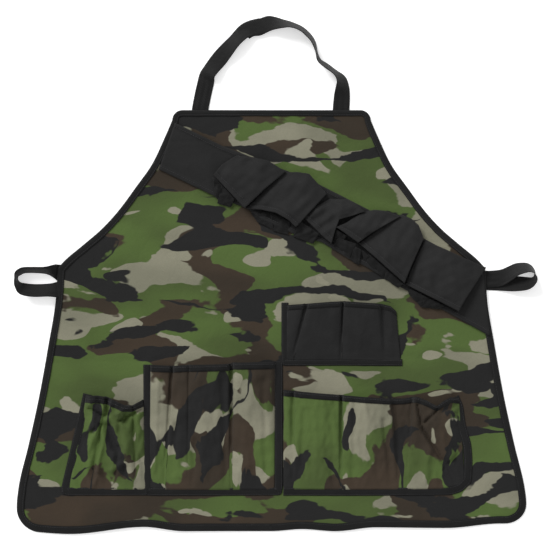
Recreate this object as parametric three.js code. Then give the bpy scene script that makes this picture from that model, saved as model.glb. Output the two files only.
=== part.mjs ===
// A camouflage work apron with a diagonal bandolier of can sleeves, laid flat with its front up.
// Millimetres. The floor is z = 0, the neck points to +Y, the hem to -Y and the front to +Z.
// The working frame has x = 0 on the apron's centre line and y = 0 at the hem. The whole group is
// moved at the end so that its origin is the middle of its bounding box, on the floor.

import * as THREE from 'three';

// Body
const HEM_WIDTH = 764;
const WAIST_WIDTH = 640;
const BIB_WIDTH = 288;
const SKIRT_HEIGHT = 394;
const BIB_HEIGHT = 237;
const HEM_CORNER = 33;
const BIB_CORNER = 15;
const CLOTH_WALL = 1.2;
const FIT_GAP = 0.3;
const SEWN_GAP = 0.4;

// Edge binding, a folded tape whose slot holds the body's edge
const BINDING_WIDTH = 12;
const BINDING_WALL = 1;
const BINDING_SEAT = 2;

// Webbing
const WEBBING_WIDTH = 25;
const WEBBING_WALL = 1.5;
const NECK_SPAN = 212;
const NECK_REACH = 129;
const STRAP_TUCK = 22;
const WAIST_LOOP_LEFT = 64;
const WAIST_LOOP_RIGHT = 73;
const BELT_LEVEL = 0.95;
const WAIST_LAP = 120;

// Bandolier
const BAND_WIDTH = 76;
const BAND_FALL = 26;
const BAND_DROP_LEFT = 59;
const SLEEVE_COUNT = 6;
const SLEEVE_PITCH = 70.5;
const SLEEVE_START = 75;
const SLEEVE_DEPTH = 22;
const SLEEVE_GAP = 1.2;

// Tool pocket
const TOOL_POCKET_WIDTH = 177;
const TOOL_POCKET_HEIGHT = 96;
const TOOL_POCKET_SPREAD = 14;
const TOOL_POCKET_FOOT = 246;
const TOOL_POCKET_DEPTH = 10;

// Row of lower pockets
const POCKET_ROW_FOOT = 52;
const POCKET_ROW_EDGE = 17;
const LEFT_POCKET_WIDTH = 121;
const LEFT_POCKET_HEIGHT = 150;
const LEFT_POCKET_SPREAD = 33;
const CENTRE_POCKET_WIDTH = 210;
const CENTRE_POCKET_HEIGHT = 199;
const RIGHT_POCKET_WIDTH = 280;
const RIGHT_POCKET_HEIGHT = 148;
const RIGHT_POCKET_SPREAD = 16;
const POCKET_DEPTH = 15;
const POCKET_BINDING = 13;
const TAPE_WALL = 2;

// How much the cloth rides up over the straps that lie under it
const STRAP_STEP = WEBBING_WALL + FIT_GAP;
const BELT_LIFT = 2 * STRAP_STEP;
const BELT_FLAT = 34;
const BELT_SLOPE = 90;
const BODY_HEIGHT = SKIRT_HEIGHT + BIB_HEIGHT;
const BELT_HEIGHT = SKIRT_HEIGHT * BELT_LEVEL;
const REST_LIFT = BINDING_WALL + FIT_GAP;

// Side edge of the skirt: height as a share of SKIRT_HEIGHT, and how far it has gone from the
// waist's half width (0) to the hem's (1).
const SIDE_FORM = [
  { up: 0, out: 1 },
  { up: 0.09, out: 1 },
  { up: 0.16, out: 0.96 },
  { up: 0.33, out: 0.71 },
  { up: 0.51, out: 0.46 },
  { up: 0.7, out: 0.24 },
  { up: 0.88, out: 0.05 },
  { up: 1, out: 0 },
];

// Armhole edge: height as a share of BIB_HEIGHT, and how far it has gone from the bib's half
// width (0) to the waist's (1).
const ARMHOLE_FORM = [
  { up: 0, out: 1 },
  { up: 0.05, out: 0.94 },
  { up: 0.15, out: 0.78 },
  { up: 0.25, out: 0.625 },
  { up: 0.36, out: 0.49 },
  { up: 0.51, out: 0.34 },
  { up: 0.66, out: 0.197 },
  { up: 0.81, out: 0.1 },
  { up: 1, out: -0.01 },
];

// Ripple of the hem in the plane of the cloth: place as a share of half the hem's width, and rise
// as a share of the binding's width.
const HEM_RIPPLE = [
  { across: -1, rise: 0.1 },
  { across: -0.79, rise: -0.36 },
  { across: -0.5, rise: 0.55 },
  { across: -0.34, rise: 0 },
  { across: 0, rise: 0 },
  { across: 0.12, rise: 0.25 },
  { across: 0.25, rise: 0 },
  { across: 0.41, rise: 0.5 },
  { across: 0.69, rise: 0.4 },
  { across: 0.9, rise: 0.95 },
  { across: 1, rise: 0.8 },
];

// Soft swells where the cloth stands off the floor: centre as shares of half the hem's width and
// of the body's height, reach as a share of the body's height, height as a share of POCKET_DEPTH.
const SWELLS = [
  { across: -0.5, up: 0.02, reach: 0.25, height: 0.24 },
  { across: 0.46, up: 0, reach: 0.24, height: 0.2 },
  { across: -0.1, up: 0.4, reach: 0.26, height: 0.14 },
  { across: 0.3, up: 0.64, reach: 0.24, height: 0.16 },
  { across: -0.25, up: 0.86, reach: 0.25, height: 0.14 },
];

// Neck strap from the left foot to the right foot: place as a share of half NECK_SPAN, height as
// a share of NECK_REACH, and roll in degrees, 0 flat on the floor and 90 on its edge.
const NECK_COURSE = [
  { across: -1, up: 0, roll: 0 },
  { across: -0.95, up: 0.16, roll: 0 },
  { across: -0.91, up: 0.31, roll: 8 },
  { across: -0.86, up: 0.44, roll: 12 },
  { across: -0.7, up: 0.62, roll: 8 },
  { across: -0.5, up: 0.81, roll: 8 },
  { across: -0.35, up: 0.91, roll: 8 },
  { across: -0.17, up: 0.97, roll: 14 },
  { across: 0.01, up: 1.0, roll: 36 },
  { across: 0.16, up: 1.0, roll: 60 },
  { across: 0.31, up: 0.99, roll: 71 },
  { across: 0.45, up: 0.93, roll: 72 },
  { across: 0.55, up: 0.85, roll: 72 },
  { across: 0.615, up: 0.755, roll: 77 },
  { across: 0.645, up: 0.66, roll: 88 },
  { across: 0.73, up: 0.505, roll: 112 },
  { across: 0.88, up: 0.405, roll: 98 },
  { across: 0.97, up: 0.34, roll: 72 },
  { across: 1.01, up: 0.26, roll: 44 },
  { across: 1.005, up: 0.14, roll: 18 },
  { across: 1, up: 0, roll: 0 },
];

// Shares of the neck course between which the two halves lap, right half on top.
const NECK_LAP = { from: 0.3, to: 0.4 };

// Waist loops, outwards from the side seam and back under the body. Reach is a share of the
// loop's reach, rise a share of the webbing's width above the belt line, roll in degrees, and
// layer the number of straps underneath.
const WAIST_COURSE_LEFT = [
  { reach: 0.02, rise: 0.52, roll: 0, layer: 0 },
  { reach: 0.08, rise: 0.57, roll: 40, layer: 0 },
  { reach: 0.15, rise: 0.62, roll: 67, layer: 0 },
  { reach: 0.45, rise: 0.66, roll: 71, layer: 0 },
  { reach: 0.76, rise: 0.7, roll: 70, layer: 0 },
  { reach: 0.92, rise: 0.52, roll: 68, layer: 0 },
  { reach: 0.98, rise: 0.18, roll: 88, layer: 0 },
  { reach: 0.93, rise: -0.2, roll: 108, layer: 0 },
  { reach: 0.79, rise: -0.48, roll: 132, layer: 0 },
  { reach: 0.6, rise: -0.58, roll: 138, layer: 0 },
  { reach: 0.3, rise: -0.56, roll: 140, layer: 0 },
  { reach: 0.12, rise: -0.54, roll: 156, layer: 0 },
  { reach: 0.03, rise: -0.53, roll: 180, layer: 0 },
];
const WAIST_COURSE_RIGHT = [
  { reach: -0.06, rise: 0.16, roll: 0, layer: 1 },
  { reach: 0.1, rise: 0.16, roll: 0, layer: 1 },
  { reach: 0.3, rise: 0.2, roll: -4, layer: 1 },
  { reach: 0.46, rise: 0.42, roll: -22, layer: 1 },
  { reach: 0.62, rise: 0.74, roll: -42, layer: 1 },
  { reach: 0.8, rise: 0.88, roll: -52, layer: 0 },
  { reach: 0.92, rise: 0.8, roll: -64, layer: 0 },
  { reach: 0.99, rise: 0.42, roll: -88, layer: 0 },
  { reach: 0.95, rise: 0.08, roll: -112, layer: 0 },
  { reach: 0.8, rise: -0.1, roll: -134, layer: 0 },
  { reach: 0.6, rise: -0.1, roll: -148, layer: 0 },
  { reach: 0.4, rise: -0.06, roll: -170, layer: 0 },
  { reach: 0.2, rise: -0.04, roll: -180, layer: 0 },
  { reach: 0, rise: -0.04, roll: -180, layer: 0 },
];

// Front panel of each sleeve. Places along the band are shares of SLEEVE_PITCH from the sleeve's
// own seam, places across it are shares of BAND_WIDTH from its middle line, and left, crown and
// right are the panel's height as shares of SLEEVE_DEPTH.
const SLEEVES = [
  {
    hemFrom: 0, hemFromUp: -0.1, hemTo: 0.87, hemToUp: -0.44,
    topFrom: 0.32, topFromUp: 0.38, topTo: 1.22, topToUp: 0.58,
    left: 0.4, crown: 0.75, right: 0.95,
  },
  {
    hemFrom: -0.06, hemFromUp: -0.4, hemTo: 1.03, hemToUp: -0.3,
    topFrom: 0.3, topFromUp: 0.56, topTo: 1.28, topToUp: 0.56,
    left: 0.4, crown: 0.8, right: 0.85,
  },
  {
    hemFrom: 0.15, hemFromUp: -0.14, hemTo: 0.84, hemToUp: -0.31,
    topFrom: 0.36, topFromUp: 0.48, topTo: 1.21, topToUp: 0.55,
    left: 0.4, crown: 0.9, right: 0.7,
  },
  {
    hemFrom: 0.04, hemFromUp: 0.04, hemTo: 0.33, hemToUp: -0.12,
    topFrom: 0.47, topFromUp: 0.7, topTo: 0.83, topToUp: 0.77,
    left: 0.5, crown: 0.9, right: 0.95,
  },
  {
    hemFrom: -0.57, hemFromUp: -0.07, hemTo: 0.62, hemToUp: -0.38,
    topFrom: -0.04, topFromUp: 0.8, topTo: 0.56, topToUp: 0.62,
    left: 0.45, crown: 0.85, right: 0.9,
  },
  {
    hemFrom: -0.33, hemFromUp: -0.4, hemTo: 0.93, hemToUp: -0.4,
    topFrom: -0.38, topFromUp: 0.54, topTo: 0.98, topToUp: 0.54,
    left: 0.5, crown: 0.85, right: 0.8,
  },
];

// Fold lines of the pocket fronts: place across the mouth and across the foot as shares of the
// front's width, and height as a share of the pocket's depth.
const TOOL_POCKET_FOLDS = [
  { mouth: 0, foot: 0, rise: 0 },
  { mouth: 0.11, foot: 0.05, rise: 0.85 },
  { mouth: 0.23, foot: 0.09, rise: 0.15 },
  { mouth: 0.4, foot: 0.3, rise: 1 },
  { mouth: 0.57, foot: 0.49, rise: 0.15 },
  { mouth: 0.75, foot: 0.7, rise: 0.95 },
  { mouth: 0.93, foot: 0.9, rise: 0.3 },
  { mouth: 1, foot: 1, rise: 0 },
];
const LEFT_POCKET_FOLDS = [
  { mouth: 0, foot: 0, rise: 0 },
  { mouth: 0.2, foot: 0.24, rise: 0.55 },
  { mouth: 0.36, foot: 0.34, rise: 0.1 },
  { mouth: 0.6, foot: 0.55, rise: 1 },
  { mouth: 0.86, foot: 0.86, rise: 0.3 },
  { mouth: 1, foot: 1, rise: 0 },
];
const CENTRE_POCKET_FOLDS = [
  { mouth: 0, foot: 0, rise: 0 },
  { mouth: 0.09, foot: 0.05, rise: 0.55 },
  { mouth: 0.17, foot: 0.11, rise: 0.12 },
  { mouth: 0.4, foot: 0.38, rise: 1 },
  { mouth: 0.65, foot: 0.64, rise: 0.1 },
  { mouth: 0.82, foot: 0.82, rise: 0.85 },
  { mouth: 1, foot: 1, rise: 0 },
];
const RIGHT_POCKET_FOLDS = [
  { mouth: 0, foot: 0, rise: 0 },
  { mouth: 0.16, foot: 0.16, rise: 0.9 },
  { mouth: 0.32, foot: 0.32, rise: 0.12 },
  { mouth: 0.5, foot: 0.5, rise: 1 },
  { mouth: 0.66, foot: 0.66, rise: 0.12 },
  { mouth: 0.8, foot: 0.78, rise: 1 },
  { mouth: 0.9, foot: 0.9, rise: 0.5 },
  { mouth: 1, foot: 1, rise: 0 },
];

// Mesh spacing
const CLOTH_STEP = 20;
const PANEL_COLUMNS = 20;
const PANEL_ROWS = 32;
const ARC_STEPS = 5;
const TURN_STEPS = 2;

// Finishes
const camouflage = new THREE.MeshStandardMaterial({ color: 0x4d5f38, roughness: 0.85, metalness: 0 });
const blackCloth = new THREE.MeshStandardMaterial({ color: 0x2b2b2c, roughness: 0.8, metalness: 0 });
const blackTape = new THREE.MeshStandardMaterial({ color: 0x1c1c1e, roughness: 0.75, metalness: 0 });
const blackWebbing = new THREE.MeshStandardMaterial({ color: 0x1f1f21, roughness: 0.7, metalness: 0 });

const mix = THREE.MathUtils.lerp;
const apron = new THREE.Group();

// Joins the rows of a table smoothly, without overshoot.
function follow(rows, from, to, x) {
  const last = rows.length - 1;
  const at = THREE.MathUtils.clamp(x, rows[0][from], rows[last][from]);
  let k = 0;
  while (k < last - 1 && at > rows[k + 1][from]) {
    k += 1;
  }
  const slope = (i) => (rows[i + 1][to] - rows[i][to]) / (rows[i + 1][from] - rows[i][from]);
  const tangent = (i) => {
    if (i === 0) {
      return slope(0);
    }
    if (i === last) {
      return slope(last - 1);
    }
    const before = slope(i - 1);
    const after = slope(i);
    return before * after <= 0 ? 0 : (2 * before * after) / (before + after);
  };
  const span = rows[k + 1][from] - rows[k][from];
  const t = (at - rows[k][from]) / span;
  const t2 = t * t;
  const t3 = t2 * t;
  return (2 * t3 - 3 * t2 + 1) * rows[k][to]
    + (t3 - 2 * t2 + t) * span * tangent(k)
    + (3 * t2 - 2 * t3) * rows[k + 1][to]
    + (t3 - t2) * span * tangent(k + 1);
}

// Soft step from 1 at no distance to 0 at the given reach.
function fade(distance, reach) {
  const d = THREE.MathUtils.clamp(Math.abs(distance) / reach, 0, 1);
  return 0.5 + 0.5 * Math.cos(Math.PI * d);
}

// Half the body's width at a height, before its corners are rounded.
function sideHalf(y) {
  if (y < SKIRT_HEIGHT) {
    return mix(WAIST_WIDTH / 2, HEM_WIDTH / 2, follow(SIDE_FORM, 'up', 'out', y / SKIRT_HEIGHT));
  }
  const up = (y - SKIRT_HEIGHT) / BIB_HEIGHT;
  return mix(BIB_WIDTH / 2, WAIST_WIDTH / 2, follow(ARMHOLE_FORM, 'up', 'out', up));
}

// Half the body's width at a height, with rounded corners, at a distance inside the edge.
function bodyHalf(y, inset) {
  if (y < HEM_CORNER) {
    const reach = Math.max((HEM_CORNER - inset) ** 2 - (HEM_CORNER - y) ** 2, 0);
    return sideHalf(HEM_CORNER) - HEM_CORNER + Math.sqrt(reach);
  }
  const shoulder = BODY_HEIGHT - BIB_CORNER;
  if (y > shoulder) {
    const reach = Math.max((BIB_CORNER - inset) ** 2 - (y - shoulder) ** 2, 0);
    return sideHalf(shoulder) - BIB_CORNER + Math.sqrt(reach);
  }
  const slope = (sideHalf(y + 1) - sideHalf(y - 1)) / 2;
  return sideHalf(y) - inset * Math.hypot(1, slope);
}

// Shift of the cloth along Y where the hem ripples, fading out above it.
function ripple(x, y) {
  const rise = follow(HEM_RIPPLE, 'across', 'rise', x / (HEM_WIDTH / 2)) * BINDING_WIDTH;
  return rise * fade(y, BELT_SLOPE);
}

// Height of the cloth's underside over the floor.
function lie(x, y) {
  const belt = fade(Math.max(Math.abs(y - BELT_HEIGHT) - BELT_FLAT, 0), BELT_SLOPE) * BELT_LIFT;
  const neck = fade(Math.max(BODY_HEIGHT - y - STRAP_TUCK - BINDING_WIDTH, 0), BELT_SLOPE) * STRAP_STEP;
  let height = REST_LIFT + Math.max(belt, neck);
  for (const swell of SWELLS) {
    const dx = x - swell.across * HEM_WIDTH / 2;
    const dy = y - swell.up * BODY_HEIGHT;
    height += fade(Math.hypot(dx, dy), swell.reach * BODY_HEIGHT) * swell.height * POCKET_DEPTH;
  }
  return height;
}

// Height at which a piece sewn on the cloth starts.
function onCloth(x, y) {
  return lie(x, y) + CLOTH_WALL + SEWN_GAP;
}

function closedBody(points, triangles) {
  let volume = 0;
  for (const [a, b, c] of triangles) {
    volume += points[a].dot(new THREE.Vector3().crossVectors(points[b], points[c]));
  }
  const index = [];
  for (const [a, b, c] of triangles) {
    index.push(...(volume < 0 ? [a, c, b] : [a, b, c]));
  }
  const geometry = new THREE.BufferGeometry();
  geometry.setFromPoints(points);
  geometry.setIndex(index);
  geometry.computeVertexNormals();
  return geometry;
}

// A wall between two grids of points, closed round its rim.
function slab(upper, lower) {
  const rows = upper.length;
  const columns = upper[0].length;
  const points = [...upper.flat(), ...lower.flat()];
  const top = (r, c) => r * columns + c;
  const bottom = (r, c) => rows * columns + r * columns + c;
  const triangles = [];
  for (let r = 0; r < rows - 1; r += 1) {
    for (let c = 0; c < columns - 1; c += 1) {
      triangles.push([top(r, c), top(r, c + 1), top(r + 1, c + 1)]);
      triangles.push([top(r, c), top(r + 1, c + 1), top(r + 1, c)]);
      triangles.push([bottom(r, c), bottom(r + 1, c + 1), bottom(r, c + 1)]);
      triangles.push([bottom(r, c), bottom(r + 1, c), bottom(r + 1, c + 1)]);
    }
  }
  const rim = [];
  for (let c = 0; c < columns - 1; c += 1) {
    rim.push([0, c]);
  }
  for (let r = 0; r < rows - 1; r += 1) {
    rim.push([r, columns - 1]);
  }
  for (let c = columns - 1; c > 0; c -= 1) {
    rim.push([rows - 1, c]);
  }
  for (let r = rows - 1; r > 0; r -= 1) {
    rim.push([r, 0]);
  }
  rim.forEach(([r, c], i) => {
    const [nextR, nextC] = rim[(i + 1) % rim.length];
    triangles.push([top(r, c), bottom(r, c), bottom(nextR, nextC)]);
    triangles.push([top(r, c), bottom(nextR, nextC), top(nextR, nextC)]);
  });
  return closedBody(points, triangles);
}

// A body through a row of like sections, capped at both ends. The plan is one section laid flat.
function loft(sections, plan) {
  const count = plan.length;
  const contour = plan.map(([a, b]) => new THREE.Vector2(a, b));
  const area = THREE.ShapeUtils.area(contour);
  const caps = THREE.ShapeUtils.triangulateShape(contour, []).map(([a, b, c]) => {
    const turn = THREE.ShapeUtils.area([contour[a], contour[b], contour[c]]);
    return turn * area < 0 ? [a, c, b] : [a, b, c];
  });
  const triangles = [];
  for (let i = 0; i < sections.length - 1; i += 1) {
    for (let j = 0; j < count; j += 1) {
      const next = (j + 1) % count;
      triangles.push([i * count + j, i * count + next, (i + 1) * count + next]);
      triangles.push([i * count + j, (i + 1) * count + next, (i + 1) * count + j]);
    }
  }
  const end = (sections.length - 1) * count;
  for (const [a, b, c] of caps) {
    triangles.push([a, c, b]);
    triangles.push([end + a, end + b, end + c]);
  }
  return closedBody(sections.flat(), triangles);
}

function addPiece(name, geometry, finish) {
  const mesh = new THREE.Mesh(geometry, finish);
  mesh.name = name;
  apron.add(mesh);
}

// Evenly spaced numbers from one value to another, both ends included.
function spread(from, to, count) {
  return Array.from({ length: count + 1 }, (_, i) => mix(from, to, i / count));
}

// Body panel
function bodyPanel() {
  const inset = BINDING_WALL + BINDING_SEAT;
  const corner = spread(0, 1, ARC_STEPS).map((t) => 1 - Math.cos(t * Math.PI / 2));
  const heights = [
    ...corner.map((t) => mix(inset, HEM_CORNER, t)),
    ...spread(HEM_CORNER, BODY_HEIGHT - BIB_CORNER, PANEL_ROWS - 2 * ARC_STEPS).slice(1, -1),
    ...corner.reverse().map((t) => BODY_HEIGHT - mix(inset, BIB_CORNER, t)),
  ];
  const grid = (wall) => heights.map((y) => spread(-1, 1, PANEL_COLUMNS).map((u) => {
    const x = u * bodyHalf(y, inset);
    const shifted = y + ripple(x, y);
    return new THREE.Vector3(x, shifted, lie(x, shifted) + wall);
  }));
  addPiece('apron_panel', slab(grid(CLOTH_WALL), grid(0)), camouflage);
}

// Outline of the body, all the way round from the middle of the hem by the right side, with the
// places where one stretch of binding ends and the next begins.
function outline() {
  const hemReach = sideHalf(HEM_CORNER) - HEM_CORNER;
  const shoulder = BODY_HEIGHT - BIB_CORNER;
  const topReach = sideHalf(shoulder) - BIB_CORNER;
  const quarter = (t) => t * Math.PI / 2;
  const steps = (length) => Math.max(Math.round(length / CLOTH_STEP), 2);
  const hem = [
    ...spread(0, hemReach, steps(hemReach)).map((x) => [x, 0]),
    ...spread(0, 1, ARC_STEPS).slice(1).map((t) => [
      hemReach + HEM_CORNER * Math.sin(quarter(t)),
      HEM_CORNER - HEM_CORNER * Math.cos(quarter(t)),
    ]),
  ];
  const along = (from, to) => spread(from, to, steps(to - from)).slice(1).map((y) => [sideHalf(y), y]);
  const side = along(HEM_CORNER, SKIRT_HEIGHT);
  const armhole = along(SKIRT_HEIGHT, shoulder);
  const top = [
    ...spread(0, 1, ARC_STEPS).slice(1).map((t) => [
      topReach + BIB_CORNER * Math.cos(quarter(t)),
      shoulder + BIB_CORNER * Math.sin(quarter(t)),
    ]),
    ...spread(topReach, 0, steps(topReach)).slice(1).map((x) => [x, BODY_HEIGHT]),
  ];
  const right = [...hem, ...side, ...armhole, ...top];
  const left = right.slice(1, -1).map(([x, y]) => [-x, y]).reverse();
  const hemEnd = hem.length - 1;
  const sideEnd = hemEnd + side.length;
  return { ring: [...right, ...left], hemEnd, sideEnd, armholeEnd: sideEnd + armhole.length };
}

// One stretch of the folded binding, from one place on the ring to another. The ring runs with the
// cloth on its left, and both ends stop short so that neighbours stay clear.
function bindingStrip(name, ring, from, to) {
  const slot = CLOTH_WALL + FIT_GAP;
  const plan = [
    [0, -REST_LIFT],
    [BINDING_WIDTH, -REST_LIFT],
    [BINDING_WIDTH, -FIT_GAP],
    [BINDING_WALL, -FIT_GAP],
    [BINDING_WALL, slot],
    [BINDING_WIDTH, slot],
    [BINDING_WIDTH, slot + BINDING_WALL],
    [0, slot + BINDING_WALL],
  ];
  const at = (i) => new THREE.Vector2(...ring[(i + ring.length) % ring.length]);
  const sections = [];
  for (let i = from; i <= to; i += 1) {
    const heading = at(i + 1).sub(at(i - 1)).normalize();
    const shift = (Number(i === from) - Number(i === to)) * FIT_GAP;
    const edge = at(i).addScaledVector(heading, shift);
    sections.push(plan.map(([depth, height]) => {
      const px = edge.x - heading.y * depth;
      const flatY = edge.y + heading.x * depth;
      const py = flatY + ripple(px, flatY);
      return new THREE.Vector3(px, py, lie(px, py) + height);
    }));
  }
  addPiece(name, loft(sections, plan), blackTape);
}

function edgeBindings() {
  const { ring, hemEnd, sideEnd, armholeEnd } = outline();
  const round = ring.length;
  bindingStrip('binding_hem', ring, -hemEnd, hemEnd);
  bindingStrip('binding_side_right', ring, hemEnd, sideEnd);
  bindingStrip('binding_armhole_right', ring, sideEnd, armholeEnd);
  bindingStrip('binding_top', ring, armholeEnd, round - armholeEnd);
  bindingStrip('binding_armhole_left', ring, round - armholeEnd, round - sideEnd);
  bindingStrip('binding_side_left', ring, round - sideEnd, round - hemEnd);
}

// Frames along stations of webbing: the middle of its width, the way across it and the way out of
// its face. Its lowest edge touches the floor, lifted off it by the straps underneath.
function webbingCourse(stations) {
  const curve = new THREE.CatmullRomCurve3(
    stations.map((s) => new THREE.Vector3(s.x, s.y, 0)), false, 'centripetal');
  const spans = stations.length - 1;
  return spread(0, 1, spans * TURN_STEPS).map((t) => {
    const k = Math.min(Math.floor(t * spans), spans - 1);
    const share = t * spans - k;
    const roll = THREE.MathUtils.degToRad(mix(stations[k].roll, stations[k + 1].roll, share));
    const tangent = curve.getTangent(t);
    const side = new THREE.Vector3(-tangent.y, tangent.x, 0).normalize();
    const up = new THREE.Vector3(0, 0, 1);
    const across = side.clone().multiplyScalar(Math.cos(roll)).addScaledVector(up, Math.sin(roll));
    const face = side.clone().multiplyScalar(-Math.sin(roll)).addScaledVector(up, Math.cos(roll));
    const centre = curve.getPoint(t);
    centre.z = (WEBBING_WIDTH * Math.abs(Math.sin(roll)) + WEBBING_WALL * Math.abs(Math.cos(roll))) / 2;
    const layer = mix(stations[k].layer, stations[k + 1].layer, share) * Math.sign(face.z || 1);
    centre.addScaledVector(face, layer * STRAP_STEP);
    return { centre, across, face };
  });
}

function webbing(name, frames) {
  const halfWidth = WEBBING_WIDTH / 2;
  const halfWall = WEBBING_WALL / 2;
  const plan = [
    [-halfWidth, -halfWall],
    [halfWidth, -halfWall],
    [halfWidth, halfWall],
    [-halfWidth, halfWall],
  ];
  const sections = frames.map(({ centre, across, face }) => plan.map(
    ([a, b]) => centre.clone().addScaledVector(across, a).addScaledVector(face, b)));
  addPiece(name, loft(sections, plan), blackWebbing);
}

// The neck strap is sewn behind the bib at both feet, and its halves lap near the top.
function neckStrap() {
  const foot = (side) => ({ x: side * NECK_SPAN / 2, y: BODY_HEIGHT - STRAP_TUCK, roll: 0, layer: 0 });
  const stations = [
    foot(-1),
    ...NECK_COURSE.map((row) => ({
      x: row.across * NECK_SPAN / 2,
      y: BODY_HEIGHT + row.up * NECK_REACH,
      roll: row.roll,
      layer: 0,
    })),
    foot(1),
  ];
  const frames = webbingCourse(stations);
  const lapFrom = Math.round(NECK_LAP.from * frames.length);
  const lapTo = Math.round(NECK_LAP.to * frames.length);
  webbing('neck_strap_left', frames.slice(0, lapTo + 1));
  webbing('neck_strap_right', frames.slice(lapFrom).map((frame, i) => {
    const past = THREE.MathUtils.clamp((i + lapFrom - lapTo) / TURN_STEPS, 0, 1);
    const centre = frame.centre.clone().addScaledVector(frame.face, (1 - past) * STRAP_STEP);
    return { ...frame, centre };
  }));
}

// A waist strap goes out from under one side seam, turns back in a loop and runs behind the body
// to the middle, where the two lap flat on each other.
function waistStrap(name, side, reach, course, lapLayer) {
  const seam = sideHalf(BELT_HEIGHT);
  const loop = course.map((row) => ({
    x: side * (seam + row.reach * reach),
    y: BELT_HEIGHT + row.rise * WEBBING_WIDTH,
    roll: row.roll,
    layer: row.layer,
  }));
  const last = loop[loop.length - 1];
  const behind = [
    { x: side * (seam - STRAP_TUCK), y: last.y },
    { x: side * seam / 2, y: mix(last.y, BELT_HEIGHT, 0.5) },
    { x: side * (WAIST_LAP / 2 + STRAP_TUCK), y: BELT_HEIGHT },
  ].map((p) => ({ ...p, roll: last.roll, layer: 0 }));
  const lap = [side * WAIST_LAP / 2, 0, -side * WAIST_LAP / 2].map((x) => ({
    x, y: BELT_HEIGHT, roll: last.roll, layer: lapLayer,
  }));
  const tucked = { ...loop[0], x: side * (seam - STRAP_TUCK) };
  webbing(name, webbingCourse([tucked, ...loop, ...behind, ...lap]));
}

// Places on the bandolier: along it from its left end, and across it from its middle line.
const bandTurn = THREE.MathUtils.degToRad(BAND_FALL);
function onBand(along, across) {
  const startY = BODY_HEIGHT - BAND_DROP_LEFT;
  const startX = -bodyHalf(startY, BINDING_WIDTH);
  return {
    x: startX + along * Math.cos(bandTurn) + across * Math.sin(bandTurn),
    y: startY - along * Math.sin(bandTurn) + across * Math.cos(bandTurn),
  };
}

// Follows a straight line over the band until it meets the binding on one side.
function bandEnd(across, side) {
  let along = side < 0 ? 0 : SLEEVE_COUNT * SLEEVE_PITCH + SLEEVE_START;
  for (let turn = 0; turn < 40; turn += 1) {
    const p = onBand(along, across);
    const room = bodyHalf(p.y, BINDING_WIDTH + FIT_GAP) * side - p.x;
    along += room * 0.5;
  }
  return along;
}

function bandolierBand() {
  const rows = spread(-BAND_WIDTH / 2, BAND_WIDTH / 2, 3);
  const grid = (wall) => rows.map((across) => {
    const from = bandEnd(across, -1);
    const to = bandEnd(across, 1);
    return spread(from, to, 26).map((along) => {
      const { x, y } = onBand(along, across);
      return new THREE.Vector3(x, y, onCloth(x, y) + wall);
    });
  });
  addPiece('bandolier_band', slab(grid(CLOTH_WALL), grid(0)), blackCloth);
}

// A sleeve is a cloth arch over the band, open at its hem and at its top. Its side walls stand on
// the band and its front panel slumps towards the hem.
function sleeve(row, i) {
  const seam = SLEEVE_START + i * SLEEVE_PITCH;
  const columns = [
    { u: 0, rise: 0 },
    { u: 0, rise: row.left },
    { u: 0.3, rise: mix(row.left, row.crown, 0.8) },
    { u: 0.6, rise: row.crown },
    { u: 0.85, rise: mix(row.crown, row.right, 0.7) },
    { u: 1, rise: row.right },
    { u: 1, rise: 0 },
  ];
  const grid = (inset) => spread(0, 1, 4).map((v) => columns.map(({ u, rise }) => {
    const from = mix(row.hemFrom, row.topFrom, v) * SLEEVE_PITCH + SLEEVE_GAP / 2 + inset;
    const to = mix(row.hemTo, row.topTo, v) * SLEEVE_PITCH - SLEEVE_GAP / 2 - inset;
    const upFrom = mix(row.hemFromUp, row.topFromUp, v);
    const upTo = mix(row.hemToUp, row.topToUp, v);
    const { x, y } = onBand(seam + mix(from, to, u), mix(upFrom, upTo, u) * BAND_WIDTH);
    const base = onCloth(x, y) + CLOTH_WALL + SEWN_GAP;
    const slack = 1 - 0.35 * v;
    return new THREE.Vector3(x, y, base + Math.max(rise * slack * SLEEVE_DEPTH - inset, 0));
  }));
  addPiece(`bandolier_sleeve_${i + 1}`, slab(grid(0), grid(CLOTH_WALL)), blackCloth);
}

// The plan of a pocket front: left and right edge at the foot and at the mouth.
function pocketPlace(plan, u, v) {
  const left = mix(plan.footLeft, plan.mouthLeft, v);
  const right = mix(plan.footRight, plan.mouthRight, v);
  return { x: mix(left, right, u), y: mix(plan.foot, plan.mouth, v) };
}

// Points of a pocket front between two shares of its height, lifted by a wall.
function pocketGrid(plan, folds, depth, shares, wall) {
  return shares.map((v) => {
    const across = (k) => mix(folds[k].foot, folds[k].mouth, v);
    const open = 0.12 + 0.88 * Math.sin(v * Math.PI / 2);
    const row = [];
    folds.forEach((fold, k) => {
      const { x, y } = pocketPlace(plan, across(k), v);
      row.push(new THREE.Vector3(x, y, onCloth(x, y) + fold.rise * depth * open + wall));
      if (k < folds.length - 1) {
        const middle = pocketPlace(plan, mix(across(k), across(k + 1), 0.5), v);
        const crest = Math.max(fold.rise, folds[k + 1].rise);
        const rise = mix((fold.rise + folds[k + 1].rise) / 2, crest, 0.5);
        const z = onCloth(middle.x, middle.y) + rise * depth * open + wall;
        row.push(new THREE.Vector3(middle.x, middle.y, z));
      }
    });
    return row;
  });
}

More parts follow.
